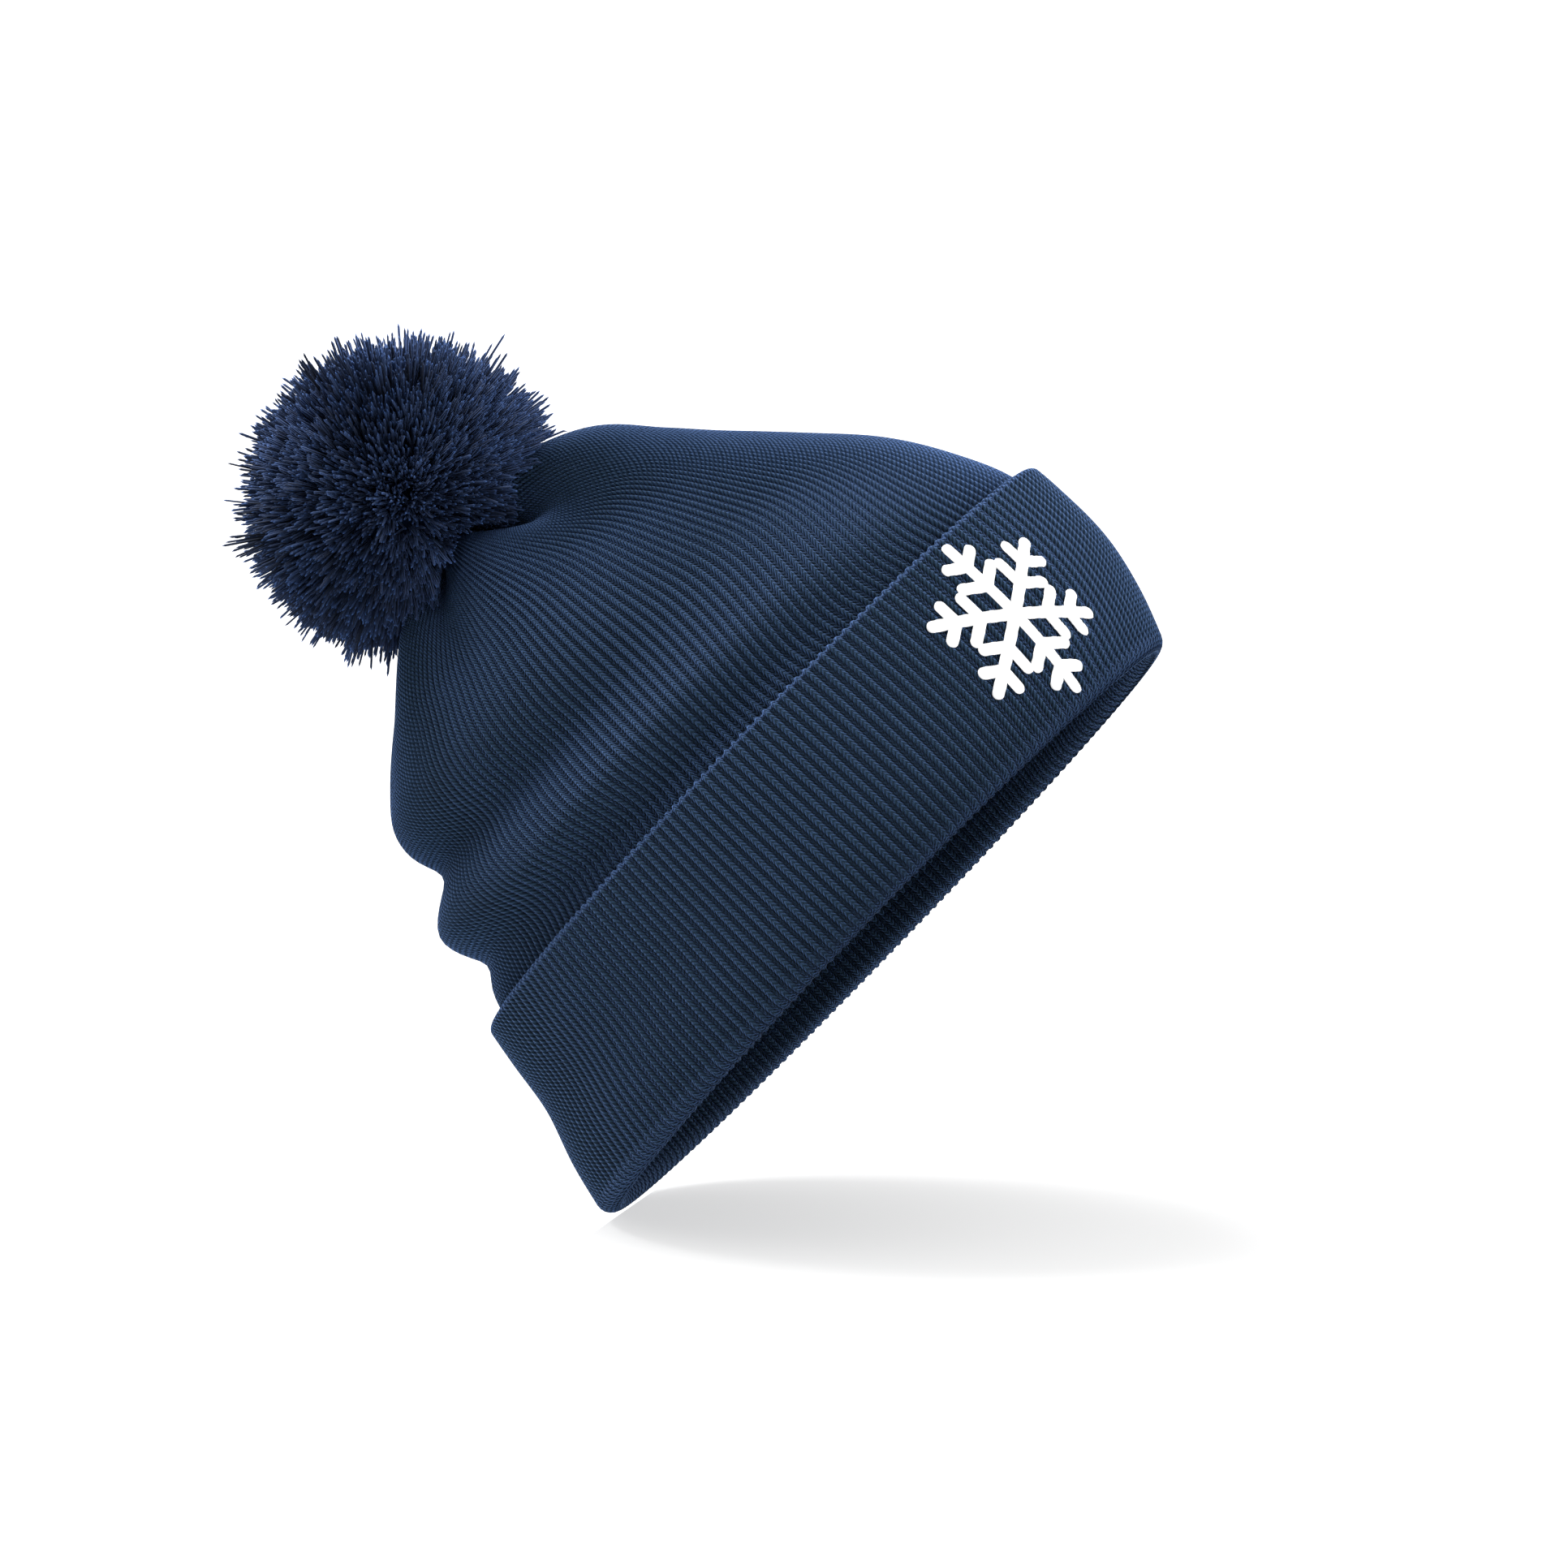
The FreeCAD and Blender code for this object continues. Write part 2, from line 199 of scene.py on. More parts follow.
# Soft folds: height, way round from the forehead, how far out, half height, half way round. The
# first lifts the front of the crown beside the pom; the rest are the slouch at the back.
SLOUCH = (
    (160 * MM, 2, 11.5 * MM, 13.5 * MM, 42),
    (74 * MM, 180, -3.8 * MM, 5.0 * MM, 44),
    (67 * MM, 252, -3.0 * MM, 5.5 * MM, 46),
    (67 * MM, 108, -3.0 * MM, 5.5 * MM, 46),
    (87 * MM, 180, 4.0 * MM, 6.5 * MM, 44),
    (79 * MM, 246, 3.2 * MM, 6.0 * MM, 36),
    (79 * MM, 114, 2.2 * MM, 6.0 * MM, 34),
    (101 * MM, 180, -4.4 * MM, 5.5 * MM, 50),
    (97 * MM, 240, -3.8 * MM, 8.0 * MM, 30),
    (99 * MM, 126, -3.0 * MM, 8.0 * MM, 28),
    (116 * MM, 190, 3.2 * MM, 9.0 * MM, 60),
)
# Pleats where the crown is drawn in: way round the eye, half width in degrees, how far out.
PLEATS = (
    (-50, 15, -9.0 * MM), (-24, 13, 2.0 * MM), (-86, 16, 4.2 * MM), (-118, 12, -3.8 * MM),
    (-143, 13, 3.0 * MM), (-170, 11, -2.8 * MM), (34, 12, -3.0 * MM), (50, 12, 2.0 * MM),
    (66, 12, -4.6 * MM), (98, 14, 3.0 * MM), (128, 12, -3.6 * MM), (158, 12, 2.8 * MM),
)
PLEAT_NEAR = 18 * MM
PLEAT_FAR = 74 * MM


def turn_gap(angle, degrees):
    """Signed difference between an angle and a direction in degrees, within half a turn."""
    return np.degrees(np.angle(np.exp(1j * (angle - math.radians(degrees)))))


def slouch(angle, height):
    """Sum of bumps: each falls off as a bell curve in height and in the way round."""
    out = np.zeros(np.broadcast(angle, height).shape)
    for middle, way, amount, tall, wide in SLOUCH:
        drop = ((height - middle) / tall) ** 2 + (turn_gap(angle, way) / wide) ** 2
        out += amount * np.exp(-drop)
    return out


def pleats(angle, reach):
    """Radial folds about the eye: bells round it, fading from PLEAT_NEAR out to PLEAT_FAR."""
    fade = 1 - smoothstep(PLEAT_NEAR, PLEAT_FAR, reach)
    return fade * sum(amount * np.exp(-(turn_gap(angle, way) / wide) ** 2) for way, wide, amount in PLEATS)


def folds(angle, along, points):
    """How far every fold pushes the knit out; nothing at the eye, where the tie holds it."""
    across = points[..., :2] - np.array(EYE[:2])
    round_eye = np.arctan2(across[..., 1], across[..., 0])
    reach = np.linalg.norm(across, axis=-1)
    out = slouch(angle, points[..., 2]) + pleats(round_eye, reach) + unevenness(angle, along)
    return out * smoothstep(EYE_RADIUS, 1.2 * PLEAT_NEAR, reach)


def unevenness(angle, along):
    """Long shallow waves that keep the knit from lying perfectly true."""
    wave = np.sin(3 * angle + 0.6) * np.sin(along / (17 * MM) + 1.1)
    wave = wave + 0.7 * np.sin(5 * angle + 2.2) * np.sin(along / (11 * MM))
    return 0.35 * MM * wave * smoothstep(CUFF_DEPTH, 1.4 * CUFF_DEPTH, along)


def bare_surface(angle, along):
    """Ellipse sections up the meridian: x = shift + a cos, y = b sin, z = height."""
    height, shift, half_length, half_width = np.moveaxis(through(PROFILE, along), -1, 0)
    x = shift + half_length * np.cos(angle)
    return np.stack(np.broadcast_arrays(x, half_width * np.sin(angle), height), axis=-1)


def hat_surface(angle, along, out):
    """Point and outward normal at an angle, an arc length up the meridian and a distance out.

    The normal is the cross product of the steps round and up; the folds push along it.
    """
    tiny = 0.2 * MM
    points = bare_surface(angle, along)
    around = bare_surface(angle + 1e-3, along) - bare_surface(angle - 1e-3, along)
    up = bare_surface(angle, along + tiny) - bare_surface(angle, along - tiny)
    normal = unit(np.cross(around, up))
    return points + normal * (out + folds(angle, along, points))[..., None], normal


def cuff_out(height, grow):
    """Distance out of a cuff surface: the slack grows as the square of the height."""
    return grow + CUFF_SLACK * (height / CUFF_DEPTH) ** 2


# ---------------------------------------------------------------- meshes
def new_object(name, mesh, material, body, stands_for=()):
    """Links a mesh as a piece that rides on a body and stands for CAD nodes."""
    piece = bpy.data.objects.new(name, mesh)
    bpy.context.scene.collection.objects.link(piece)
    mesh.materials.append(material)
    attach(piece, body)
    if stands_for:
        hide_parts(*stands_for)
    return piece


def quad_mesh(name, points, faces, uv=None, smooth=True):
    """A mesh from an array of points and an array of quads or triangles, with a UV per corner."""
    mesh = bpy.data.meshes.new(name)
    corners = faces.shape[1]
    mesh.vertices.add(len(points))
    mesh.vertices.foreach_set("co", np.ascontiguousarray(points, np.float32).ravel())
    mesh.loops.add(faces.size)
    mesh.loops.foreach_set("vertex_index", faces.ravel().astype(np.int32))
    mesh.polygons.add(len(faces))
    mesh.polygons.foreach_set("loop_start", np.arange(0, faces.size, corners, dtype=np.int32))
    mesh.polygons.foreach_set("loop_total", np.full(len(faces), corners, np.int32))
    mesh.update(calc_edges=True)
    if uv is not None:
        layer = mesh.uv_layers.new(name="knit")
        layer.data.foreach_set("uv", np.ascontiguousarray(uv, np.float32).ravel())
    mesh.validate()
    mesh.polygons.foreach_set("use_smooth", np.full(len(mesh.polygons), smooth))
    return mesh


def ring_faces(rows, columns, close_rows):
    """Quads over rings of points: (r, c), (r, c+1), (r+1, c+1), (r+1, c), wrapped round."""
    last = rows if close_rows else rows - 1
    row, here = np.meshgrid(np.arange(last), np.arange(columns), indexing="ij")
    row, here = row.ravel(), here.ravel()
    beside = (here + 1) % columns
    low, high = row * columns, (row + 1) % rows * columns
    return np.stack([low + here, low + beside, high + beside, high + here], 1)


def between_rows(low_step, high_step, columns):
    """Triangles from one ring up to the next, as (0 for low or 1 for high, column). Each ring keeps
    every low_step-th or high_step-th column; steps are 1 or the columns of a whole rib."""
    start = np.arange(0, columns, max(low_step, high_step))
    wide = max(low_step, high_step)
    parts = []
    if low_step == high_step:
        parts.append(((0, start), (0, start + wide), (1, start + wide)))
        parts.append(((0, start), (1, start + wide), (1, start)))
    elif low_step < high_step:
        for i in range(wide):
            near = start if i < wide // 2 else start + wide
            parts.append(((0, start + i), (0, start + i + 1), (1, near)))
        parts.append(((0, start + wide // 2), (1, start + wide), (1, start)))
    else:
        for i in range(wide):
            near = start if i < wide // 2 else start + wide
            parts.append(((0, near), (1, start + i + 1), (1, start + i)))
        parts.append(((0, start), (0, start + wide), (1, start + wide // 2)))
    which = np.array([[[corner[0]] * len(start) for corner in part] for part in parts])
    column = np.array([[corner[1] for corner in part] for part in parts])
    return which.transpose(0, 2, 1).reshape(-1, 3), column.transpose(0, 2, 1).reshape(-1, 3)


def ring_mesh(name, grid, u_values, v_values, steps):
    """A closed skin over rings of points, each keeping every steps-th column. u_values has one more
    than the columns and v_values one more than the rows, so that the pattern runs on over both
    joins."""
    rows, columns = grid.shape[:2]
    first = np.concatenate([[0], np.cumsum(columns // steps)])
    points = np.concatenate([grid[row, ::steps[row]] for row in range(rows)])
    faces, uvs = [], []
    for row in range(rows):
        above = (row + 1) % rows
        which, column = between_rows(steps[row], steps[above], columns)
        step = np.where(which == 0, steps[row], steps[above])
        start = np.where(which == 0, first[row], first[above])
        faces.append(start + (column % columns) // step)
        uvs.append(np.stack([u_values[column], v_values[row + which]], -1))
    return quad_mesh(name, points, np.concatenate(faces), np.concatenate(uvs).reshape(-1, 2))


def grid_normals(grid):
    """Normals of a grid of rings: the cross product of the steps to each point's neighbours."""
    around = np.roll(grid, -1, 1) - np.roll(grid, 1, 1)
    up = np.roll(grid, -1, 0) - np.roll(grid, 1, 0)
    return unit(np.cross(around, up))


# ---------------------------------------------------------------- the knitted plies
def rib_columns():
    """Every column's share of the girth and its height in the rib section."""
    shares, heights = np.array(RIB_SECTION).T
    turns = (np.arange(RIBS)[:, None] + shares).ravel() / RIBS
    return turns, np.tile(heights, RIBS)


def knit_ply(name, path, material, nodes):
    """A closed ring of knit. path holds (arc length up, distance out, rib relief 0 to 1, painted
    highlight 0 to 1) for each ring of points, up the outside and down the inside; ribs stand along
    its normals, and rings with no relief, which nothing shows, keep one point a rib. The point
    attribute made here says how far the base colour is painted lighter as a highlight: the path's
    share, plus a painted rim highlight where the normal lies square to Y, along the front and back
    middle and over the top of the crown, stronger at the front."""
    along, out, relief, painted_highlight = np.array(path).T
    turns, heights = rib_columns()
    angle = even_angle(np.mod(rib_turn(turns[None, :], along[:, None]), 1))
    base, _ = hat_surface(angle, along[:, None], out[:, None] + np.zeros_like(angle))
    normals = grid_normals(base)
    ribbed = base + normals * (RIB_DEPTH * relief[:, None] * heights[None, :])[..., None]
    step = np.linalg.norm(np.diff(base[:, 0], axis=0, append=base[:1, 0]), axis=-1)
    courses = np.concatenate([[0], np.cumsum(step)]) / COURSE
    ribs = np.append(turns, 1.0) * RIBS
    steps = np.where(relief == 0, len(RIB_SECTION), 1)
    mesh = ring_mesh(name, ribbed, ribs, courses, steps)
    # Painted rim highlight: lighter where the normal lies square to Y, stronger on the crown than on the
    # cuff and at the front than at the back.
    rim_highlight = 1 - smoothstep(0, RIM_HIGHLIGHT_WIDTH, np.abs(normals[..., 1]))
    rim_highlight = rim_highlight * np.where(base[..., 2] > CUFF_DEPTH, CROWN_RIM_HIGHLIGHT, CUFF_RIM_HIGHLIGHT)
    rim_highlight = rim_highlight * np.where(normals[..., 0] > 0, 1, 0.35)
    # The path's painted highlight plus the painted rim highlight.
    highlight_share = painted_highlight[:, None] + rim_highlight
    kept = np.concatenate([row[::step] for row, step in zip(highlight_share, steps)])
    layer = mesh.attributes.new("painted_highlight", "FLOAT", "POINT")
    layer.data.foreach_set("value", kept.astype(np.float32))
    return new_object(name, mesh, material, "hat", nodes)


def girth(grow):
    """Length round the worn edge of a ply that stands grow out from the shell."""
    angle = np.linspace(0, 2 * math.pi, 721)
    forward = np.diff((HALF_LENGTH + grow) * np.cos(angle))
    sideways = np.diff((HALF_WIDTH + grow) * np.sin(angle))
    return float(np.hypot(forward, sideways).sum())


def run(start, end, count, out_start, out_end, relief=1.0):
    """Evenly spaced points of a ply's path from one arc length to another."""
    along, out = np.linspace(start, end, count), np.linspace(out_start, out_end, count)
    return [(a, o, relief, 0.0) for a, o in zip(along, out)]


def arc(middle, middle_out, radius, start, end, count, relief, painted_highlight):
    """Points of a ply's path round a fold: up = middle + r sin, out = middle + r cos."""
    angles = np.radians(np.linspace(start, end, count))
    up, out = middle + radius * np.sin(angles), middle_out + radius * np.cos(angles)
    return [(a, o, relief, painted_highlight) for a, o in zip(up, out)]


def outer_shell(material):
    """The crown's outer ply: hidden under the cuff, then drawn up to the eye."""
    hidden = along_at(CUFF_DEPTH - 6 * MM)
    low = along_at(PLY + PLY_GAP)
    top = MERIDIAN - 0.5 * MM
    path = run(low, hidden, 5, 0, 0, 0.0)
    path += run(hidden + 2.5 * MM, top, 66, 0, 0, 1.3)
    path += run(top, low, 66, -PLY, -PLY, 0.0)
    piece = knit_ply("outer_shell_knit", path, material, ["outer_shell"])


def lining(material):
    """The inner ply, ribbed towards the head, tucked behind the hem fold at its lower edge."""
    low = along_at(7 * MM)
    top = MERIDIAN - 1.5 * MM
    outside = LINING_INSIDE + PLY
    path = run(low, top, 66, outside, outside, 0.0)
    path += run(top, along_at(9.5 * MM), 60, LINING_INSIDE, LINING_INSIDE, 0.8)
    path += [(along_at(8 * MM), LINING_INSIDE + 0.25 * PLY, 0.6, 0.0)]
    piece = knit_ply("lining_knit", path, material, ["lining"])


def cuff_face(material):
    """The cuff's outer ply: from a flap inside the head opening, under the hem, up the outside and
    over the rolled top edge."""
    hem_radius = (CUFF_BUILD - LINING_INSIDE) / 2
    hem_middle = (CUFF_BUILD + LINING_INSIDE) / 2
    roll = PLY + PLY_GAP
    top = CUFF_DEPTH - roll
    flap = 8.8 * MM
    path = run(flap, hem_radius + 1.5 * MM, 3, LINING_INSIDE, LINING_INSIDE, 0.8)
    # The hem's rounded edge gets a little painted highlight.
    path += arc(hem_radius, hem_middle, hem_radius, 180, 360, 11, 0.5, 0.12)
    for height in np.linspace(hem_radius + 2 * MM, top, 27):
        path.append((height, cuff_out(height, CUFF_BUILD), 1.0, 0.0))
    # The rolled top edge is painted light, a painted highlight along the roll.
    path += arc(top, cuff_out(top, CUFF_BUILD) - roll, roll, 12, 180, 8, 0.7, 1.0)
    inner = cuff_out(top, CUFF_BUILD) - 2 * roll
    path += run(top - 3 * MM, top - 9 * MM, 2, inner, inner, 0.5)
    path += run(top - 9 * MM, flap, 4, CUFF_BUILD - roll, CUFF_BUILD - roll, 0.0)
    path += [(flap, LINING_INSIDE + PLY, 0.0, 0.0)]
    piece = knit_ply("cuff_face_knit", path, material, ["cuff_face"])


def cuff_backing(material):
    """The cuff's inner ply, against the shell."""
    low, high = 9.5 * MM, CUFF_DEPTH - 11.5 * MM
    inside = CUFF_EASE + PLY_GAP
    path = run(low, high, 6, inside + PLY * 0.9, inside + PLY * 0.9, 0.0)
    path += run(high, low, 6, inside, inside, 0.0)
    piece = knit_ply("cuff_backing_knit", path, material, ["cuff_backing"])


# ---------------------------------------------------------------- pom pom
YARNS = 3400
STRANDS_PER_YARN = 7
TUFTS = 520
TUFT_PULL = 0.26
STRAND_RADIUS = 0.43 * MM
MAP_STEP = 1.25 * MM
MAP_CELLS = 96
YARN_ROOT = 16 * MM
HEART_RADIUS = 0.71
POM_SEED = 41


def sphere_directions(count):
    """Directions spread evenly on a sphere by the golden angle."""
    index = np.arange(count) + 0.5
    z = 1 - 2 * index / count
    turn = math.pi * (1 + math.sqrt(5)) * index
    ring = np.sqrt(1 - z * z)
    return np.stack([ring * np.cos(turn), ring * np.sin(turn), z], -1)


def side_vectors(directions):
    """Two unit vectors square to each direction and to each other."""
    helper = np.where(np.abs(directions[..., 2:]) < 0.9, [0.0, 0.0, 1.0], [1.0, 0.0, 0.0])
    first = unit(np.cross(directions, helper))
    return first, np.cross(directions, first)


def crown_map():
    """Heights of the folded crown on a square grid about the eye: the highest of many points of
    the surface that fall in each cell or the cells beside it."""
    angle = np.linspace(0, 2 * math.pi, 1440, endpoint=False)[None, :]
    along = np.linspace(0.3 * MERIDIAN, MERIDIAN, 500)[:, None]
    points, _ = hat_surface(angle, along, np.zeros((500, 1440)))
    grid = np.full((MAP_CELLS, MAP_CELLS), 0.3 * CROWN_HEIGHT)
    cell = map_cell(points)
    np.maximum.at(grid, (cell[..., 0].ravel(), cell[..., 1].ravel()), points[..., 2].ravel())
    middle = MAP_CELLS // 2
    hole = slice(middle - 6, middle + 7)
    grid[hole, hole] = np.maximum(grid[hole, hole], CROWN_HEIGHT)
    padded = np.pad(grid, 1, mode="edge")
    around = [padded[i:i + MAP_CELLS, j:j + MAP_CELLS] for i in range(3) for j in range(3)]
    return np.max(around, axis=0)


def map_cell(points):
    """Grid cell of each point, about the eye."""
    place = (points[..., :2] - np.array(EYE[:2])) / MAP_STEP + MAP_CELLS / 2
    return np.clip(place.astype(int), 0, MAP_CELLS - 1)


def crown_height(points, heights):
    """Height of the folded crown under each point."""
    cell = map_cell(points)
    return heights[cell[..., 0], cell[..., 1]]


def strand_mesh(name, spine, radii, shade):
    """Thin three-sided strands, one closed spike each: rings round the spine's points, closed by a
    point at the tip and one triangle at the root. The UV holds a random shade and the way up."""
    count, rings = spine.shape[:2]
    along = unit(spine[:, -1] - spine[:, 0])
    first, second = side_vectors(along)
    turn = 2 * math.pi * np.arange(3) / 3
    ring = first[:, None] * np.cos(turn)[:, None] + second[:, None] * np.sin(turn)[:, None]
    body = spine[:, :-1, None] + ring[:, None] * radii[:, :-1, None, None]
    points = np.concatenate([body.reshape(count, -1, 3), spine[:, -1:]], axis=1)
    tip = 3 * (rings - 1)
    faces = [(0, 2, 1)]
    for level in range(rings - 2):
        for side in range(3):
            low, low_next = 3 * level + side, 3 * level + (side + 1) % 3
            faces += [(low, low_next, low_next + 3), (low, low_next + 3, low + 3)]
    for side in range(3):
        faces.append((tip - 3 + side, tip - 3 + (side + 1) % 3, tip))
    faces = np.array(faces)
    level_of = np.append(np.repeat(np.arange(rings - 1), 3), rings - 1) / (rings - 1)
    whole = (faces[None] + (np.arange(count) * (tip + 1))[:, None, None]).reshape(-1, 3)
    uv_u = np.broadcast_to(shade[:, None, None], (count,) + faces.shape)
    uv_v = np.broadcast_to(level_of[faces][None], (count,) + faces.shape)
    return quad_mesh(name, points.reshape(-1, 3), whole, np.stack([uv_u, uv_v], -1).reshape(-1, 2))


def pom_strands(random, heights):
    """Spines, radii and shades of all the strands.

    Each yarn leaves the waist along its own direction and bends a little; its strands start
    together, swell apart and end near one frayed tip. Below, they are lifted off the crown.
    """
    yarn_way = unit(sphere_directions(YARNS) + random.normal(0, 0.07, (YARNS, 3)))
    tufts = unit(sphere_directions(TUFTS) + random.normal(0, 0.06, (TUFTS, 3)))
    nearest = tufts[np.argmax(yarn_way @ tufts.T, axis=1)]
    lumps = np.sin(4 * yarn_way[:, 0] + 1) * np.sin(5 * yarn_way[:, 1]) + np.sin(4 * yarn_way[:, 2] + 2)
    centred = 1 - 9 * (1 - (yarn_way * nearest).sum(1))
    yarn_length = POM_RADIUS * (0.915 + 0.016 * lumps + 0.055 * centred + random.normal(0, 0.02, YARNS))
    bend = random.normal(0, 3.0 * MM, (YARNS, 3)) + TUFT_PULL * POM_RADIUS * (nearest - yarn_way)
    spread = random.uniform(0.6, 1.5, YARNS) * MM
    yarn_shade = random.uniform(0, 1, YARNS)

    way = np.repeat(yarn_way, STRANDS_PER_YARN, 0)
    count = len(way)
    length = np.repeat(yarn_length, STRANDS_PER_YARN) + random.normal(0, 0.8 * MM, count)
    first, second = side_vectors(way)
    turn = random.uniform(0, 2 * math.pi, count)
    offset = first * np.cos(turn)[:, None] + second * np.sin(turn)[:, None]
    width = np.repeat(spread, STRANDS_PER_YARN) * np.sqrt(random.uniform(0, 1, count))
    stray = random.normal(0, 1.9 * MM, (count, 3))
    curve = np.repeat(bend, STRANDS_PER_YARN, 0)

    levels = np.array([0.0, 0.55, 0.975, 1.0])
    swell = np.array([0.5, 0.95, 0.9, 0.9])
    reach = YARN_ROOT + (length - YARN_ROOT)[:, None] * levels
    spine = np.array(POM_MIDDLE) + way[:, None] * reach[..., None]
    spine = spine + offset[:, None] * (width[:, None] * swell)[..., None]
    spine = spine + curve[:, None] * (levels * (1 - 0.3 * levels))[:, None]
    spine = spine + stray[:, None] * (levels ** 3)[:, None]
    floor = crown_height(spine, heights) + (0.8 * MM + random.uniform(0, 2.4 * MM, count))[:, None]
    spine[..., 2] = np.maximum(spine[..., 2], floor)
    radii = STRAND_RADIUS * np.array([0.8, 1.0, 0.8, 0.0]) * random.uniform(0.8, 1.2, (count, 1))
    shade = np.clip(np.repeat(yarn_shade, STRANDS_PER_YARN) + random.normal(0, 0.08, count), 0, 1)
    return spine, radii, shade, way


def pom_pile(material, heights):
    """The cut pile in three pieces: the top, and the front and back of the rest."""
    random = np.random.default_rng(POM_SEED)
    spine, radii, shade, way = pom_strands(random, heights)
    top = way[:, 2] > 0.35
    parts = {
        "pom_pile_top": top,
        "pom_pile_front": ~top & (way[:, 0] >= 0),
        "pom_pile_back": ~top & (way[:, 0] < 0),
    }
    for name, chosen in parts.items():
        mesh = strand_mesh(name, spine[chosen], radii[chosen], shade[chosen])
        new_object(name, mesh, material, "pom", ["pom_pile"])


def pom_heart(material, heights):
    """The dense middle of the pile: a ball with a fine uneven surface, lifted off the crown."""
    rows, columns = 40, 72
    polar = np.linspace(math.pi - 0.02, 0.02, rows)[:, None]
    turn = np.linspace(0, 2 * math.pi, columns, endpoint=False)[None, :]
    level = np.sin(polar)
    way = [level * np.cos(turn), level * np.sin(turn), np.cos(polar)]
    way = np.stack(np.broadcast_arrays(*way), -1)
    lump = 1 + 0.03 * np.sin(9 * turn + 7 * polar) * np.sin(8 * polar)
    points = np.array(POM_MIDDLE) + way * (POM_RADIUS * HEART_RADIUS * lump)[..., None]
    points[..., 2] = np.maximum(points[..., 2], crown_height(points, heights) + 2.5 * MM)
    ring_ends = np.concatenate([points.reshape(-1, 3), points[:1].mean(1), points[-1:].mean(1)])
    faces = ring_faces(rows, columns, False)
    triangles = np.concatenate([faces[:, [0, 1, 2]], faces[:, [0, 2, 3]]])
    here = np.arange(columns)
    beside = (here + 1) % columns
    last = (rows - 1) * columns
    low = np.stack([np.full(columns, rows * columns), beside, here], 1)
    high = np.stack([np.full(columns, rows * columns + 1), last + here, last + beside], 1)
    mesh = quad_mesh("pom_heart", ring_ends, np.concatenate([triangles, low, high]))
    new_object("pom_heart", mesh, material, "pom")


# ---------------------------------------------------------------- emblem and labels
FILM = 0.35 * MM
FILM_LIFT = 0.06 * MM
FILM_SAG = 0.35            # how far the film follows the valleys between the ribs
FILM_STEP = 0.8 * MM
LABEL_THICK = 0.5 * MM


def emblem_film(material):
    """The snowflake film laid on the ribs: the frame's own outline, cut finer and pressed down."""
    work = bmesh.new()
    work.from_mesh(frame["nodes"]["emblem"].data)
    bmesh.ops.remove_doubles(work, verts=work.verts, dist=1e-6)
    for _ in range(4):
        long_edges = [edge for edge in work.edges if edge.calc_length() > FILM_STEP]
        if not long_edges:
            break
        bmesh.ops.subdivide_edges(work, edges=long_edges, cuts=1)
    bmesh.ops.triangulate(work, faces=work.faces)
    work.normal_update()
    mesh = bpy.data.meshes.new("emblem_film")
    work.to_mesh(mesh)
    work.free()
    count = len(mesh.vertices)
    points = np.empty(count * 3, np.float32)
    mesh.vertices.foreach_get("co", points)
    points = points.reshape(-1, 3).astype(float)
    facing = np.empty(count * 3, np.float32)
    mesh.vertices.foreach_get("normal", facing)
    facing = facing.reshape(-1, 3)
    height = points[:, 2]
    along = along_at(height)
    out = cuff_out(height, CUFF_BUILD)
    _, shift, half_length, half_width = through(PROFILE, along).T
    angle = np.arctan2(points[:, 1] / (half_width + out), (points[:, 0] - shift) / (half_length + out))
    surface, normal = hat_surface(angle, along, out)
    table_turn = np.linspace(0, 1, 4001)
    turn = rib_at(np.interp(np.mod(angle, 2 * math.pi), even_angle(table_turn), table_turn), along)
    shares, heights = np.array(RIB_SECTION).T
    rib = np.interp(np.mod(turn * RIBS, 1), np.append(shares, 1), np.append(heights, heights[0]))
    top = (facing * normal).sum(1) > 0
    lift = rib * RIB_DEPTH * FILM_SAG + FILM_LIFT + FILM * top
    placed = surface + normal * lift[:, None]
    mesh.vertices.foreach_set("co", placed.astype(np.float32).ravel())
    mesh.update()
    new_object("emblem_film", mesh, material, "hat", ["emblem"])


def tag(name, node, joint_name, size, curl, material):
    """A woven label: front and back sheets joined round their edges, curling off the lining as
    the square of the way down. It hangs from its hinge line."""
    width, drop = size
    joint = JOINTS[joint_name]
    hinge, across = np.array(joint["pos_m"]), np.array(joint["axis"])
    inward = np.cross([0, 0, 1], across)
    rows, columns = 24, 12
    down = np.linspace(0, 1, rows)[:, None]
    side = np.linspace(-0.5, 0.5, columns)[None, :]
    front = hinge + across * (side * width)[..., None] + np.array([0, 0, -1]) * (down * drop)[..., None]
    ripple = curl * down ** 2 * (1 + 0.25 * np.cos(2 * math.pi * side))
    front = front + inward * (ripple + LABEL_THICK / 2)[..., None]
    back = front[:, ::-1] - inward * LABEL_THICK
    rings = np.concatenate([front, back], axis=1)
    faces = ring_faces(rows, 2 * columns, False)[:, ::-1]
    c = np.arange(columns - 1)
    other = 2 * columns - 1 - c
    first = np.stack([c, c + 1, other - 1, other], 1)
    last = first[:, ::-1] + (rows - 1) * 2 * columns
    mesh = quad_mesh(name, rings.reshape(-1, 3), np.concatenate([faces, first, last]), smooth=False)
    recalculate(mesh)
    piece = new_object(name, mesh, material, joint["child"], [node])


def recalculate(mesh):
    """Turns every face of a closed mesh outwards."""
    work = bmesh.new()
    work.from_mesh(mesh)
    bmesh.ops.recalc_face_normals(work, faces=work.faces)
    work.to_mesh(mesh)
    work.free()


# ---------------------------------------------------------------- the tie's yarn
BINDING_TURNS = 3
BINDING_RADIUS = 1.1 * MM
LOOP_RADIUS = 0.5 * MM
RISE_RADIUS = 1.3 * MM
TAIL_RADIUS = 0.9 * MM
KNOT_RADIUS = 1.25 * MM
KNOT_MIDDLE = 4.0 * MM      # above the knot's lowest point
ALONG_X = np.array([1.0, 0.0, 0.0])
ALONG_Y = np.array([0.0, 1.0, 0.0])
ALONG_Z = np.array([0.0, 0.0, 1.0])
YARN_SIDES = 12


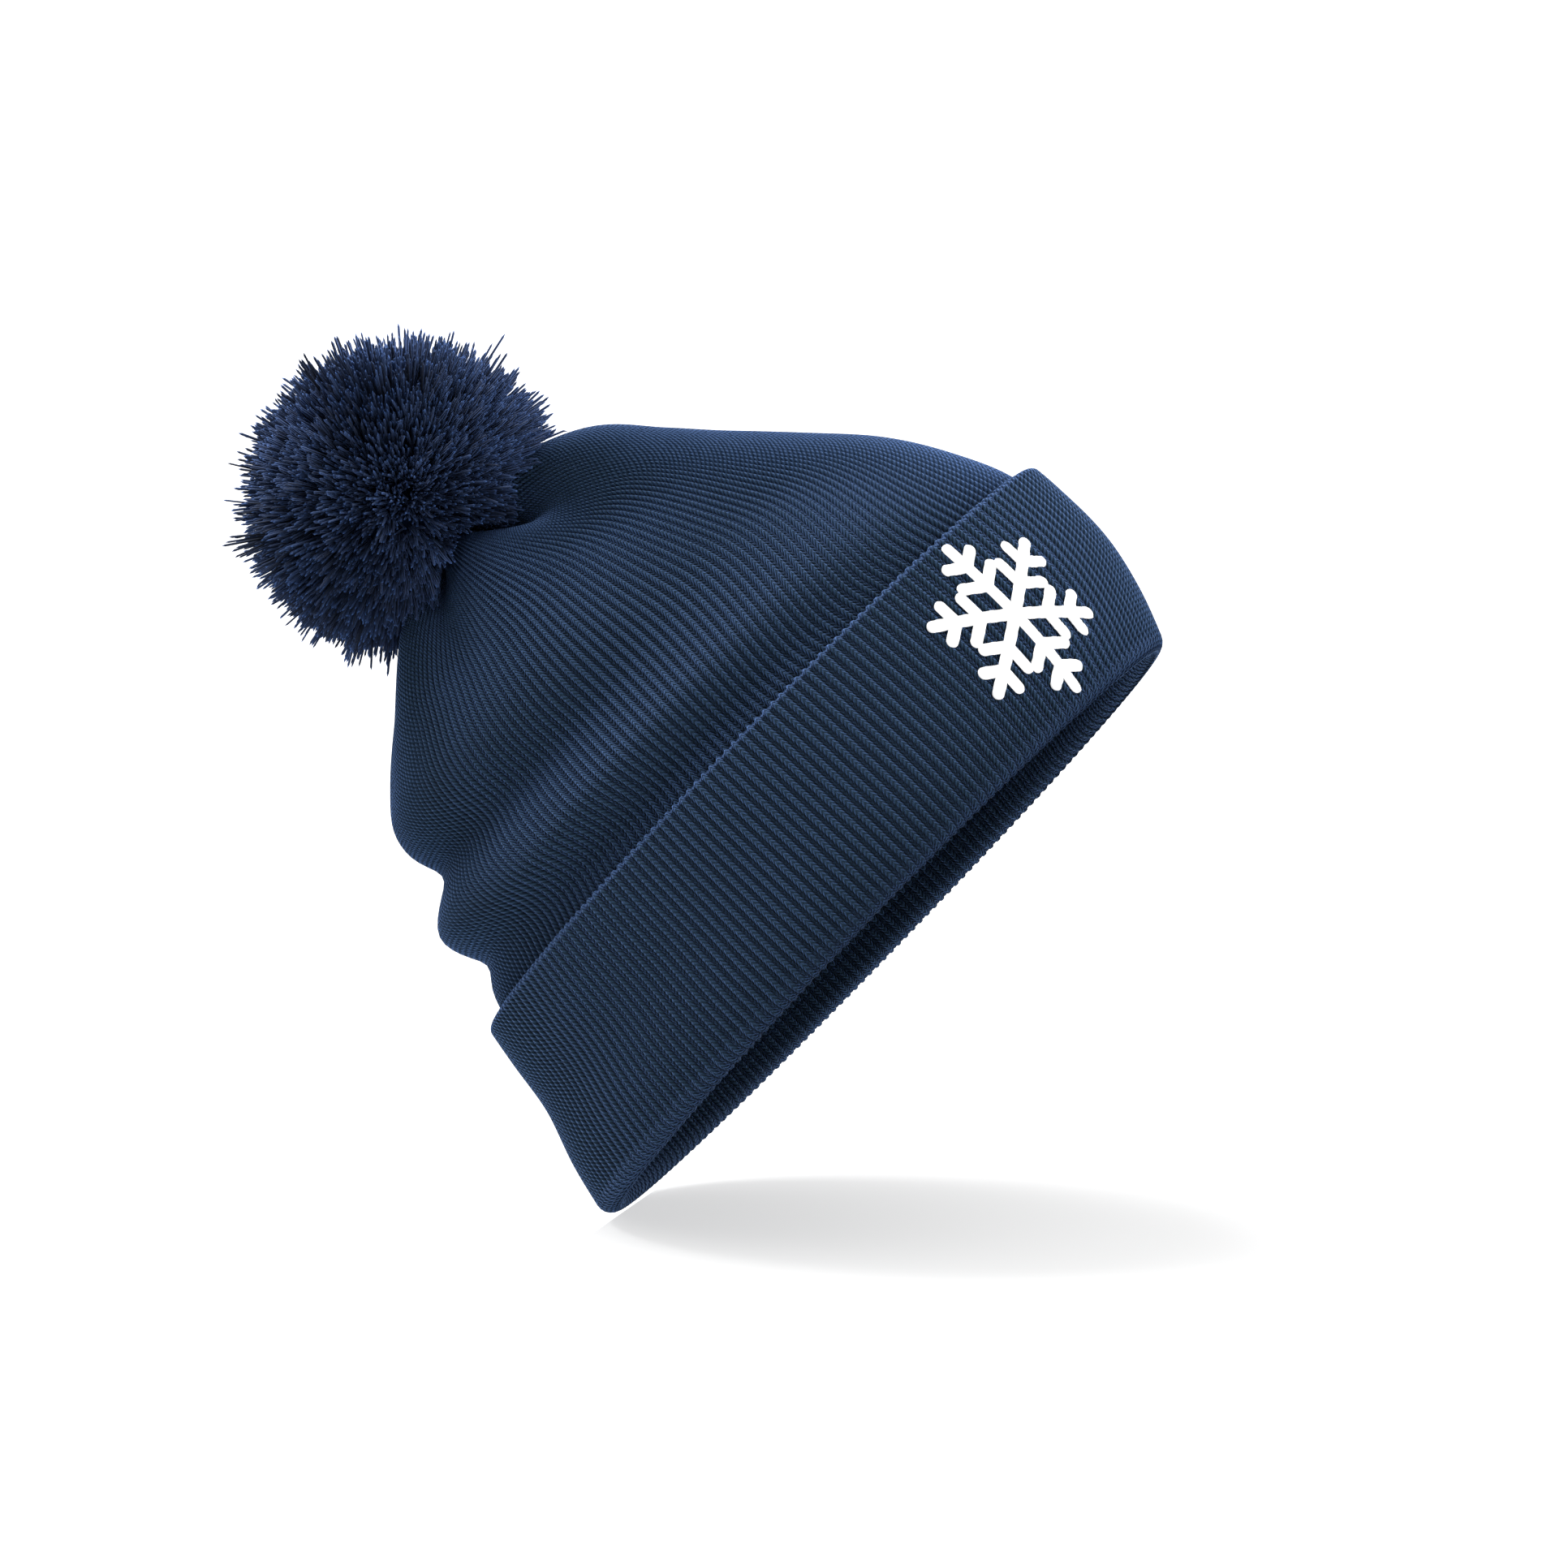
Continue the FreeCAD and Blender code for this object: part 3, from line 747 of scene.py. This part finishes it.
def yarn_tube(name, path, radius, closed, material, body, nodes, around_axis):
    """Two-ply twisted yarn along a path: r = radius (0.86 + 0.14 |cos(angle - twist)|). Rings are
    set square to the path with one fixed axis; open ends shrink to a point."""
    path = np.asarray(path, float)
    if closed:
        tangent = unit(np.roll(path, -1, 0) - np.roll(path, 1, 0))
    else:
        tangent = unit(np.gradient(path, axis=0))
    first = unit(np.cross(tangent, around_axis))
    second = np.cross(tangent, first)
    angle = np.linspace(0, 2 * math.pi, YARN_SIDES, endpoint=False)[None, :]
    step = np.linalg.norm(np.diff(path, axis=0, append=path[-1:]), axis=-1)
    travelled = np.concatenate([[0], np.cumsum(step)[:-1]])
    turns = travelled / (6 * radius) * 2 * math.pi
    if closed:
        turns = np.round(turns[-1] / math.pi) * math.pi * np.arange(len(path)) / len(path)
    reach = radius * (0.84 + 0.16 * np.abs(np.cos(angle - turns[:, None])))
    if not closed:
        ends = np.ones(len(path))
        ends[[0, -1]] = 0.02
        ends[[1, -2]] = 0.8
        reach = reach * ends[:, None]
    rings = path[:, None] + first[:, None] * (np.cos(angle) * reach)[..., None]
    rings = rings + second[:, None] * (np.sin(angle) * reach)[..., None]
    mesh = quad_mesh(name, rings.reshape(-1, 3), ring_faces(len(path), YARN_SIDES, closed))
    if not closed:
        close_ends(mesh)
    recalculate(mesh)
    return new_object(name, mesh, material, body, nodes)


def close_ends(mesh):
    """Fills the two open rims of a tube."""
    work = bmesh.new()
    work.from_mesh(mesh)
    rims = [edge for edge in work.edges if edge.is_boundary]
    bmesh.ops.holes_fill(work, edges=rims)
    work.to_mesh(mesh)
    work.free()


def circle_path(centre, radius, axis_turns_z=True, count=96):
    """Points round a level circle, or round one that stands across Y."""
    t = np.linspace(0, 2 * math.pi, count, endpoint=False)
    flat = np.stack([np.cos(t), np.sin(t), 0 * t] if axis_turns_z else [np.cos(t), 0 * t, np.sin(t)], -1)
    return np.array(centre) + radius * flat


def tie_pieces(material):
    """The gather rings, knot, tails, loop, stem and binding, each in the room its solid holds."""
    for node in ("crown_gather_yarn", "lining_gather_yarn"):
        low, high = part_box(node)
        radius = (high.z - low.z) / 2
        ring = circle_path((low + high) / 2, (high.x - low.x) / 2 - radius)
        yarn_tube(node + "_twist", ring, radius, True, material, "hat", [node], ALONG_Z)
    low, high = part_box("pom_binding")
    pitch = (high.z - low.z - 2 * BINDING_RADIUS) / (BINDING_TURNS - 1)
    for index in range(BINDING_TURNS):
        centre = (EYE.x, 0, low.z + BINDING_RADIUS + index * pitch)
        ring = circle_path(centre, (high.x - low.x) / 2 - BINDING_RADIUS)
        name = "pom_binding_turn_%d" % (index + 1)
        yarn_tube(name, ring, BINDING_RADIUS, True, material, "pom", ["pom_binding"], ALONG_Z)
    low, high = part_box("tie_loop")
    loop = circle_path((low + high) / 2, (high.x - low.x) / 2 - LOOP_RADIUS, False, 48)
    yarn_tube("tie_loop_twist", loop, LOOP_RADIUS, True, material, "tie_link", ["tie_loop"], ALONG_Y)
    low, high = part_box("pom_tie")
    t = np.linspace(0, 1, 40)[:, None]
    stem = EYE.x * ALONG_X + ALONG_Z * (low.z + t * (high.z - low.z))
    width = high.x - low.x
    yarn_tube("pom_tie_twist", stem, width / 2, False, material, "pom_stem", ["pom_tie"], ALONG_X)
    knot_yarn(*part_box("tie_knot"), material)
    low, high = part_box("tie_tails")
    for side in (-1, 1):
        start = np.array([EYE.x + side * 2 * MM, 0, high.z + 1 * MM])
        end = np.array([low.x if side < 0 else high.x, 0, low.z])
        bow = np.array([0, 1.5 * MM * side, 0])
        path = start + (end - start) * t + bow * np.sin(math.pi * t)
        name = "tie_tail_%s" % ("back" if side < 0 else "front")
        yarn_tube(name, path, TAIL_RADIUS, False, material, "hat", ["tie_tails"], ALONG_Y + 0.2 * ALONG_Z)


def knot_yarn(low, high, material):
    """The knot as an overhand loop, x = sin t + 2 sin 2t, y = cos t - 2 cos 2t, z = -sin 3t, with
    the doubled yarn rising from it through the eye."""
    width = (high.x - low.x) / 2 - KNOT_RADIUS
    middle_z = low.z + KNOT_MIDDLE
    t = np.linspace(0, 2 * math.pi, 160, endpoint=False)
    x, y, z = np.sin(t) + 2 * np.sin(2 * t), np.cos(t) - 2 * np.cos(2 * t), -np.sin(3 * t)
    path = np.stack([EYE.x + width * x / 3, width * y / 3, middle_z + (KNOT_MIDDLE - KNOT_RADIUS) * z], -1)
    yarn_tube("tie_knot_twist", path, KNOT_RADIUS, True, material, "hat", ["tie_knot"], ALONG_Z)
    rise = EYE.x * ALONG_X + ALONG_Z * np.linspace(middle_z, high.z, 30)[:, None]
    yarn_tube("tie_rise_twist", rise, RISE_RADIUS, False, material, "hat", ["tie_knot"], ALONG_X)


# ---------------------------------------------------------------- materials
def linear(code):
    """sRGB hex to linear RGBA: the sRGB curve undone for each channel."""
    channels = [int(code[i:i + 2], 16) / 255 for i in (1, 3, 5)]
    return [c / 12.92 if c <= 0.04045 else ((c + 0.055) / 1.055) ** 2.4 for c in channels] + [1.0]


def add(tree, kind, inputs=None, **settings):
    """Adds a node, sets its properties, and sets or links its inputs by name or number."""
    node = tree.nodes.new(kind)
    for key, value in settings.items():
        setattr(node, key, value)
    for key, value in (inputs or {}).items():
        if isinstance(value, bpy.types.NodeSocket):
            tree.links.new(value, node.inputs[key])
        else:
            node.inputs[key].default_value = value
    return node


def maths(tree, operation, *values):
    """One Math node; returns its output."""
    return add(tree, "ShaderNodeMath", dict(enumerate(values)), operation=operation).outputs[0]


def mixed(tree, factor, first, second):
    """Mix of two colours; returns its output."""
    node = add(tree, "ShaderNodeMix", {"Factor": factor, 6: first, 7: second}, data_type="RGBA")
    return node.outputs[2]


def new_material(name):
    """A material with one Principled node joined to its output: material, node tree, shader."""
    material = bpy.data.materials.new(name)
    material.use_nodes = True
    tree = material.node_tree
    tree.nodes.clear()
    shader = add(tree, "ShaderNodeBsdfPrincipled")
    add(tree, "ShaderNodeOutputMaterial", {"Surface": shader.outputs[0]})
    return material, tree, shader


def noise(tree, place, scale, detail, roughness=0.5):
    """Noise at a place in the piece's own metres; returns its value."""
    inputs = {"Vector": place, "Scale": scale, "Detail": detail, "Roughness": roughness}
    return add(tree, "ShaderNodeTexNoise", inputs).outputs[0]


def set_inputs(shader, values):
    """Sets several inputs of a shader by name."""
    for name, value in values.items():
        shader.inputs[name].default_value = value


def smooth_range(tree, value, low, high):
    """A smooth step of a value from 0 at low to 1 at high."""
    inputs = {0: value, 1: low, 2: high}
    return add(tree, "ShaderNodeMapRange", inputs, interpolation_type="SMOOTHSTEP").outputs[0]


def acrylic_rib_knit():
    """Navy acrylic yarn, rib-knitted by machine. Slanting stitch legs run up each knit wale and
    fainter ones up the purl wale, with painted shade darkening the purl wale and the grooves between;
    a painted highlight lightens the rolled edges and the surface whose normal lies square to Y, and a
    bluish sheen of loose fibre shows at grazing angles."""
    material, tree, shader = new_material("acrylic_rib_knit")
    uv = add(tree, "ShaderNodeUVMap", uv_map="knit").outputs[0]
    split = add(tree, "ShaderNodeSeparateXYZ", {0: uv})
    wale = maths(tree, "FRACT", split.outputs[0])
    off_crest = maths(tree, "MULTIPLY", maths(tree, "ABSOLUTE", maths(tree, "SUBTRACT", wale, 0.5)), 2.0)
    place = add(tree, "ShaderNodeTexCoord").outputs["Object"]
    wander = noise(tree, place, 520.0, 1.0)
    course = maths(tree, "MULTIPLY_ADD", off_crest, 1.7, split.outputs[1])
    course = maths(tree, "MULTIPLY_ADD", wander, 0.5, course)
    wave = maths(tree, "COSINE", maths(tree, "MULTIPLY", course, 2 * math.pi))
    bead = maths(tree, "MULTIPLY_ADD", wave, 0.5, 0.5)
    groove = smooth_range(tree, maths(tree, "ABSOLUTE", maths(tree, "SUBTRACT", off_crest, 0.6)), 0.26, 0.04)
    purl = smooth_range(tree, off_crest, 0.55, 0.8)
    fibre = noise(tree, place, 2600.0, 3.0, 0.65)
    patch = noise(tree, place, 38.0, 2.0)
    # The stitch legs' crests are painted lit and the gaps between them darker, as painted shade.
    lit = mixed(tree, bead, linear("#101c28"), linear("#304862"))
    flecked = mixed(tree, maths(tree, "MULTIPLY", fibre, 0.4), lit, linear("#2c4358"))
    aged = mixed(tree, maths(tree, "MULTIPLY", patch, 0.3), flecked, linear("#17303a"))
    # Painted shade: the low purl wale darkened towards #0a1522.
    low = mixed(tree, maths(tree, "MULTIPLY", purl, 0.6), aged, linear("#0a1522"))
    # Painted shade in the grooves beside the knit wale, slightly less on the stitch legs.
    shade = maths(tree, "MULTIPLY", groove, maths(tree, "MULTIPLY_ADD", bead, -0.35, 0.9))
    navy = mixed(tree, shade, low, linear("#040a13"))
    # Painted highlight: the point attribute mixes the base colour towards light blue (#4c689a), more on the
    # stitch legs.
    painted_highlight = add(tree, "ShaderNodeAttribute", attribute_name="painted_highlight").outputs["Fac"]
    highlight_share = maths(tree, "MULTIPLY", painted_highlight, maths(tree, "MULTIPLY_ADD", bead, 0.3, 0.12))
    relief = maths(tree, "MULTIPLY_ADD", groove, -0.8, bead)
    stitches = add(tree, "ShaderNodeBump", {"Strength": 1.0, "Distance": 0.55 * MM, "Height": relief})
    fuzz = {"Strength": 0.5, "Distance": 0.12 * MM, "Height": fibre, "Normal": stitches.outputs[0]}
    fuzz = add(tree, "ShaderNodeBump", fuzz)
    tree.links.new(mixed(tree, highlight_share, navy, linear("#4c689a")), shader.inputs["Base Color"])
    tree.links.new(fuzz.outputs[0], shader.inputs["Normal"])
    set_inputs(shader, {"Roughness": 0.92, "Specular IOR Level": 0.15, "Sheen Weight": 0.7,
                        "Sheen Roughness": 0.3, "Sheen Tint": linear("#6f93d8")})
    return material


def cut_yarn_pile():
    """Cut acrylic yarn: near black towards the roots, painted shade deep between the strands, and brighter
    navy at the frayed tips.
    """
    material, tree, shader = new_material("cut_yarn_pile")
    uv = add(tree, "ShaderNodeUVMap", uv_map="knit").outputs[0]
    split = add(tree, "ShaderNodeSeparateXYZ", {0: uv})
    # Painted shade: each strand darkens to near black towards its root.
    rise = smooth_range(tree, split.outputs[1], 0.45, 1.0)
    tips = mixed(tree, split.outputs[0], linear("#14233f"), linear("#3d5e98"))
    colour = mixed(tree, rise, linear("#050a13"), tips)
    tree.links.new(colour, shader.inputs["Base Color"])
    set_inputs(shader, {"Roughness": 0.8, "Specular IOR Level": 0.25, "Sheen Weight": 0.55,
                        "Sheen Roughness": 0.45, "Sheen Tint": linear("#7c9be0")})
    return material


def shaded_pile_core():
    """The pile's dense middle, painted near black as the shade deep between the strands' roots."""
    material, tree, shader = new_material("shaded_pile_core")
    place = add(tree, "ShaderNodeTexCoord").outputs["Object"]
    grain = noise(tree, place, 1400.0, 2.0)
    # Painted shade: near black with a fine grain.
    tree.links.new(mixed(tree, grain, linear("#050a14"), linear("#121e35")), shader.inputs["Base Color"])
    set_inputs(shader, {"Roughness": 1.0, "Specular IOR Level": 0.0})
    return material


def twisted_yarn():
    """Spun acrylic yarn of the tie: fine slanting fibres and a soft sheen."""
    material, tree, shader = new_material("twisted_yarn")
    place = add(tree, "ShaderNodeTexCoord").outputs["Object"]
    fibre = noise(tree, place, 3000.0, 3.0)
    bump = add(tree, "ShaderNodeBump", {"Strength": 0.6, "Distance": 0.1 * MM, "Height": fibre})
    tree.links.new(mixed(tree, fibre, linear("#0e1a2c"), linear("#3a557a")), shader.inputs["Base Color"])
    tree.links.new(bump.outputs[0], shader.inputs["Normal"])
    set_inputs(shader, {"Roughness": 0.9, "Sheen Weight": 0.4})
    return material


def pressed_film():
    """White polyurethane transfer film: smooth, faintly satin, with a slight press grain."""
    material, tree, shader = new_material("pressed_film")
    place = add(tree, "ShaderNodeTexCoord").outputs["Object"]
    grain = noise(tree, place, 1800.0, 2.0)
    bump = add(tree, "ShaderNodeBump", {"Strength": 0.15, "Distance": 0.05 * MM, "Height": grain})
    tree.links.new(mixed(tree, grain, linear("#f4f4f4"), linear("#ffffff")), shader.inputs["Base Color"])
    tree.links.new(bump.outputs[0], shader.inputs["Normal"])
    set_inputs(shader, {"Roughness": 0.55, "IOR": 1.5})
    return material


def satin_tape():
    """Woven polyester satin label: fine level floats that catch the light in lines."""
    material, tree, shader = new_material("satin_tape")
    place = add(tree, "ShaderNodeTexCoord").outputs["Object"]
    floats = {"Vector": place, "Scale": 900.0, "Distortion": 1.5, "Detail": 2.0}
    thread = add(tree, "ShaderNodeTexWave", floats, bands_direction="Z").outputs[1]
    bump = add(tree, "ShaderNodeBump", {"Strength": 0.5, "Distance": 0.06 * MM, "Height": thread})
    tree.links.new(mixed(tree, thread, linear("#d9d8d2"), linear("#f3f2ee")), shader.inputs["Base Color"])
    tree.links.new(bump.outputs[0], shader.inputs["Normal"])
    set_inputs(shader, {"Roughness": 0.42, "Sheen Weight": 0.2})
    return material


def polyester_thread():
    """Navy sewing thread with a slight shine."""
    material, tree, shader = new_material("polyester_thread")
    place = add(tree, "ShaderNodeTexCoord").outputs["Object"]
    twist = noise(tree, place, 5000.0, 2.0)
    tree.links.new(mixed(tree, twist, linear("#101b30"), linear("#2b3f66")), shader.inputs["Base Color"])
    set_inputs(shader, {"Roughness": 0.5})
    return material


# ---------------------------------------------------------------- studio
def one_sided_white(name, glow):
    """A pale matt surface seen and lit from its front only; its back lets everything through. The
    glow lightens its shadows."""
    material = bpy.data.materials.new(name)
    material.use_nodes = True
    tree = material.node_tree
    tree.nodes.clear()
    matt = add(tree, "ShaderNodeBsdfDiffuse", {"Color": linear("#fbfbfb")})
    lit = add(tree, "ShaderNodeEmission", {"Color": linear("#ffffff")})
    white = add(tree, "ShaderNodeMixShader", {0: glow, 1: matt.outputs[0], 2: lit.outputs[0]})
    clear = add(tree, "ShaderNodeBsdfTransparent")
    back = add(tree, "ShaderNodeNewGeometry").outputs["Backfacing"]
    mix = add(tree, "ShaderNodeMixShader", {0: back, 1: white.outputs[0], 2: clear.outputs[0]})
    add(tree, "ShaderNodeOutputMaterial", {"Surface": mix.outputs[0]})
    return material


CAMERA_DISTANCE = 2.3
CAMERA_DIP = math.radians(5.0)
CAMERA_ROLL = math.radians(46.0)
VIEW_WIDTH = 0.4352
VIEW_MIDDLE = Vector((10.1 * MM, 0, 49.2 * MM))
SENSOR = 36.0
FLOOR_LEVEL = -0.2 * MM
FLOOR_RADIUS = 4.0
SLOPE_DIP = math.radians(8.0)


def camera_axes():
    """Right, up and look directions: level with the worn edge less the dip, rolled on its side."""
    look = Vector((0, math.cos(CAMERA_DIP), math.sin(CAMERA_DIP)))
    up = Vector((math.sin(CAMERA_ROLL), 0, math.cos(CAMERA_ROLL)))
    right = look.cross(up).normalized()
    return right, right.cross(look).normalized(), look


def add_camera():
    """A long lens that frames VIEW_WIDTH at the hat."""
    right, up, look = camera_axes()
    data = bpy.data.cameras.new("camera")
    data.sensor_width = SENSOR
    data.lens = SENSOR * CAMERA_DISTANCE / VIEW_WIDTH
    data.clip_end = 50
    camera = bpy.data.objects.new("camera", data)
    turn = Matrix((right, up, -look)).transposed().to_4x4()
    camera.matrix_world = Matrix.Translation(VIEW_MIDDLE - look * CAMERA_DISTANCE) @ turn
    bpy.context.scene.collection.objects.link(camera)
    bpy.context.scene.camera = camera


def add_stage(name, corners, faces, material):
    """A stage surface from its corners and faces."""
    mesh = bpy.data.meshes.new(name)
    mesh.from_pydata([tuple(corner) for corner in corners], [], faces)
    mesh.materials.append(material)
    surface = bpy.data.objects.new(name, mesh)
    bpy.context.scene.collection.objects.link(surface)


def add_floor(material):
    """The floor under the hat's edge, open where the head opening is: an ellipse joined to a wide
    circle, both round the hat."""
    count = 96
    turn = np.linspace(0, 2 * math.pi, count, endpoint=False)
    round_turn = np.stack([np.cos(turn), np.sin(turn)], -1)
    hem = round_turn * (HALF_LENGTH, HALF_WIDTH)
    flat = np.concatenate([hem, round_turn * FLOOR_RADIUS])
    corners = np.column_stack([flat, np.full(2 * count, FLOOR_LEVEL)])
    faces = [(i, count + i, count + (i + 1) % count, (i + 1) % count) for i in range(count)]
    add_stage("floor", corners, faces, material)


def add_sloped_floor(material):
    """A second floor under the first, touching the hat's back edge and falling away across the
    view. Its left edge is slanted to keep all of it under the first floor."""
    right, up, look = camera_axes()
    depth = (look + up * math.tan(SLOPE_DIP)).normalized()
    start = Vector((CUFF_LOW.x + 2 * MM, 0, -0.5 * MM))
    reach, half_depth = 0.6, 0.35
    slant = half_depth * depth.z / -right.z
    places = ((-slant, -half_depth), (reach, -half_depth), (reach, half_depth), (slant, half_depth))
    corners = [start + right * across + depth * back for across, back in places]
    add_stage("sloped_floor", corners, [(0, 1, 2, 3)], material)


def add_light(name, place, size, power, colour="#ffffff"):
    """A square softbox aimed at the hat's middle."""
    data = bpy.data.lights.new(name, "AREA")
    data.size = size
    data.energy = power
    data.color = linear(colour)[:3]
    lamp = bpy.data.objects.new(name, data)
    aim = (VIEW_MIDDLE - Vector(place)).to_track_quat("-Z", "Y").to_matrix().to_4x4()
    lamp.matrix_world = Matrix.Translation(place) @ aim
    bpy.context.scene.collection.objects.link(lamp)


def studio():
    """White surroundings, a pale floor under the hat and soft boxes above and to both sides."""
    world = bpy.data.worlds.new("studio")
    world.use_nodes = True
    tree = world.node_tree
    right, up, look = camera_axes()
    way = add(tree, "ShaderNodeTexCoord").outputs["Generated"]
    back = (look + up - 0.3 * right).normalized()
    facing = add(tree, "ShaderNodeVectorMath", {0: way, 1: tuple(back)}, operation="DOT_PRODUCT")
    facing = facing.outputs["Value"]
    strength = add(tree, "ShaderNodeMapRange", {0: facing, 1: -0.4, 2: 0.6, 3: 0.12, 4: 1.4},
                   interpolation_type="SMOOTHSTEP").outputs[0]
    tree.links.new(strength, tree.nodes["Background"].inputs[1])
    tree.nodes["Background"].inputs[0].default_value = linear("#ffffff")
    bpy.context.scene.world = world
    bpy.context.scene.view_settings.view_transform = "Standard"
    add_floor(one_sided_white("pale_floor", 0.3))
    add_sloped_floor(one_sided_white("pale_slope", 0.55))
    add_light("top_box", tuple(VIEW_MIDDLE + up * 1.2 - right * 0.5 + look * 0.3), 1.0, 32)
    add_light("left_box", tuple(VIEW_MIDDLE - right * 1.3 + look * 0.6), 0.9, 15)
    add_light("right_box", tuple(VIEW_MIDDLE + right * 1.3 + up * 0.2 + look * 0.6), 0.9, 14)


# ---------------------------------------------------------------- the hat
def dress():
    knit = acrylic_rib_knit()
    yarn = twisted_yarn()
    tape = satin_tape()
    thread = polyester_thread()
    pile = cut_yarn_pile()
    outer_shell(knit)
    lining(knit)
    cuff_face(knit)
    cuff_backing(knit)
    emblem_film(pressed_film())
    heights = crown_map()
    pom_pile(pile, heights)
    pom_heart(shaded_pile_core(), heights)
    tie_pieces(yarn)
    for node in ("size_label_stitches", "care_label_stitches"):
        slots = frame["nodes"][node].data.materials
        slots.clear()
        slots.append(thread)
    tag("size_label_tape", "size_label", "size_label_flip", (16 * MM, 20 * MM), 0.6 * MM, tape)
    tag("care_label_tape", "care_label", "care_label_flip", (24 * MM, 34 * MM), 1.4 * MM, tape)


dress()
add_camera()
studio()
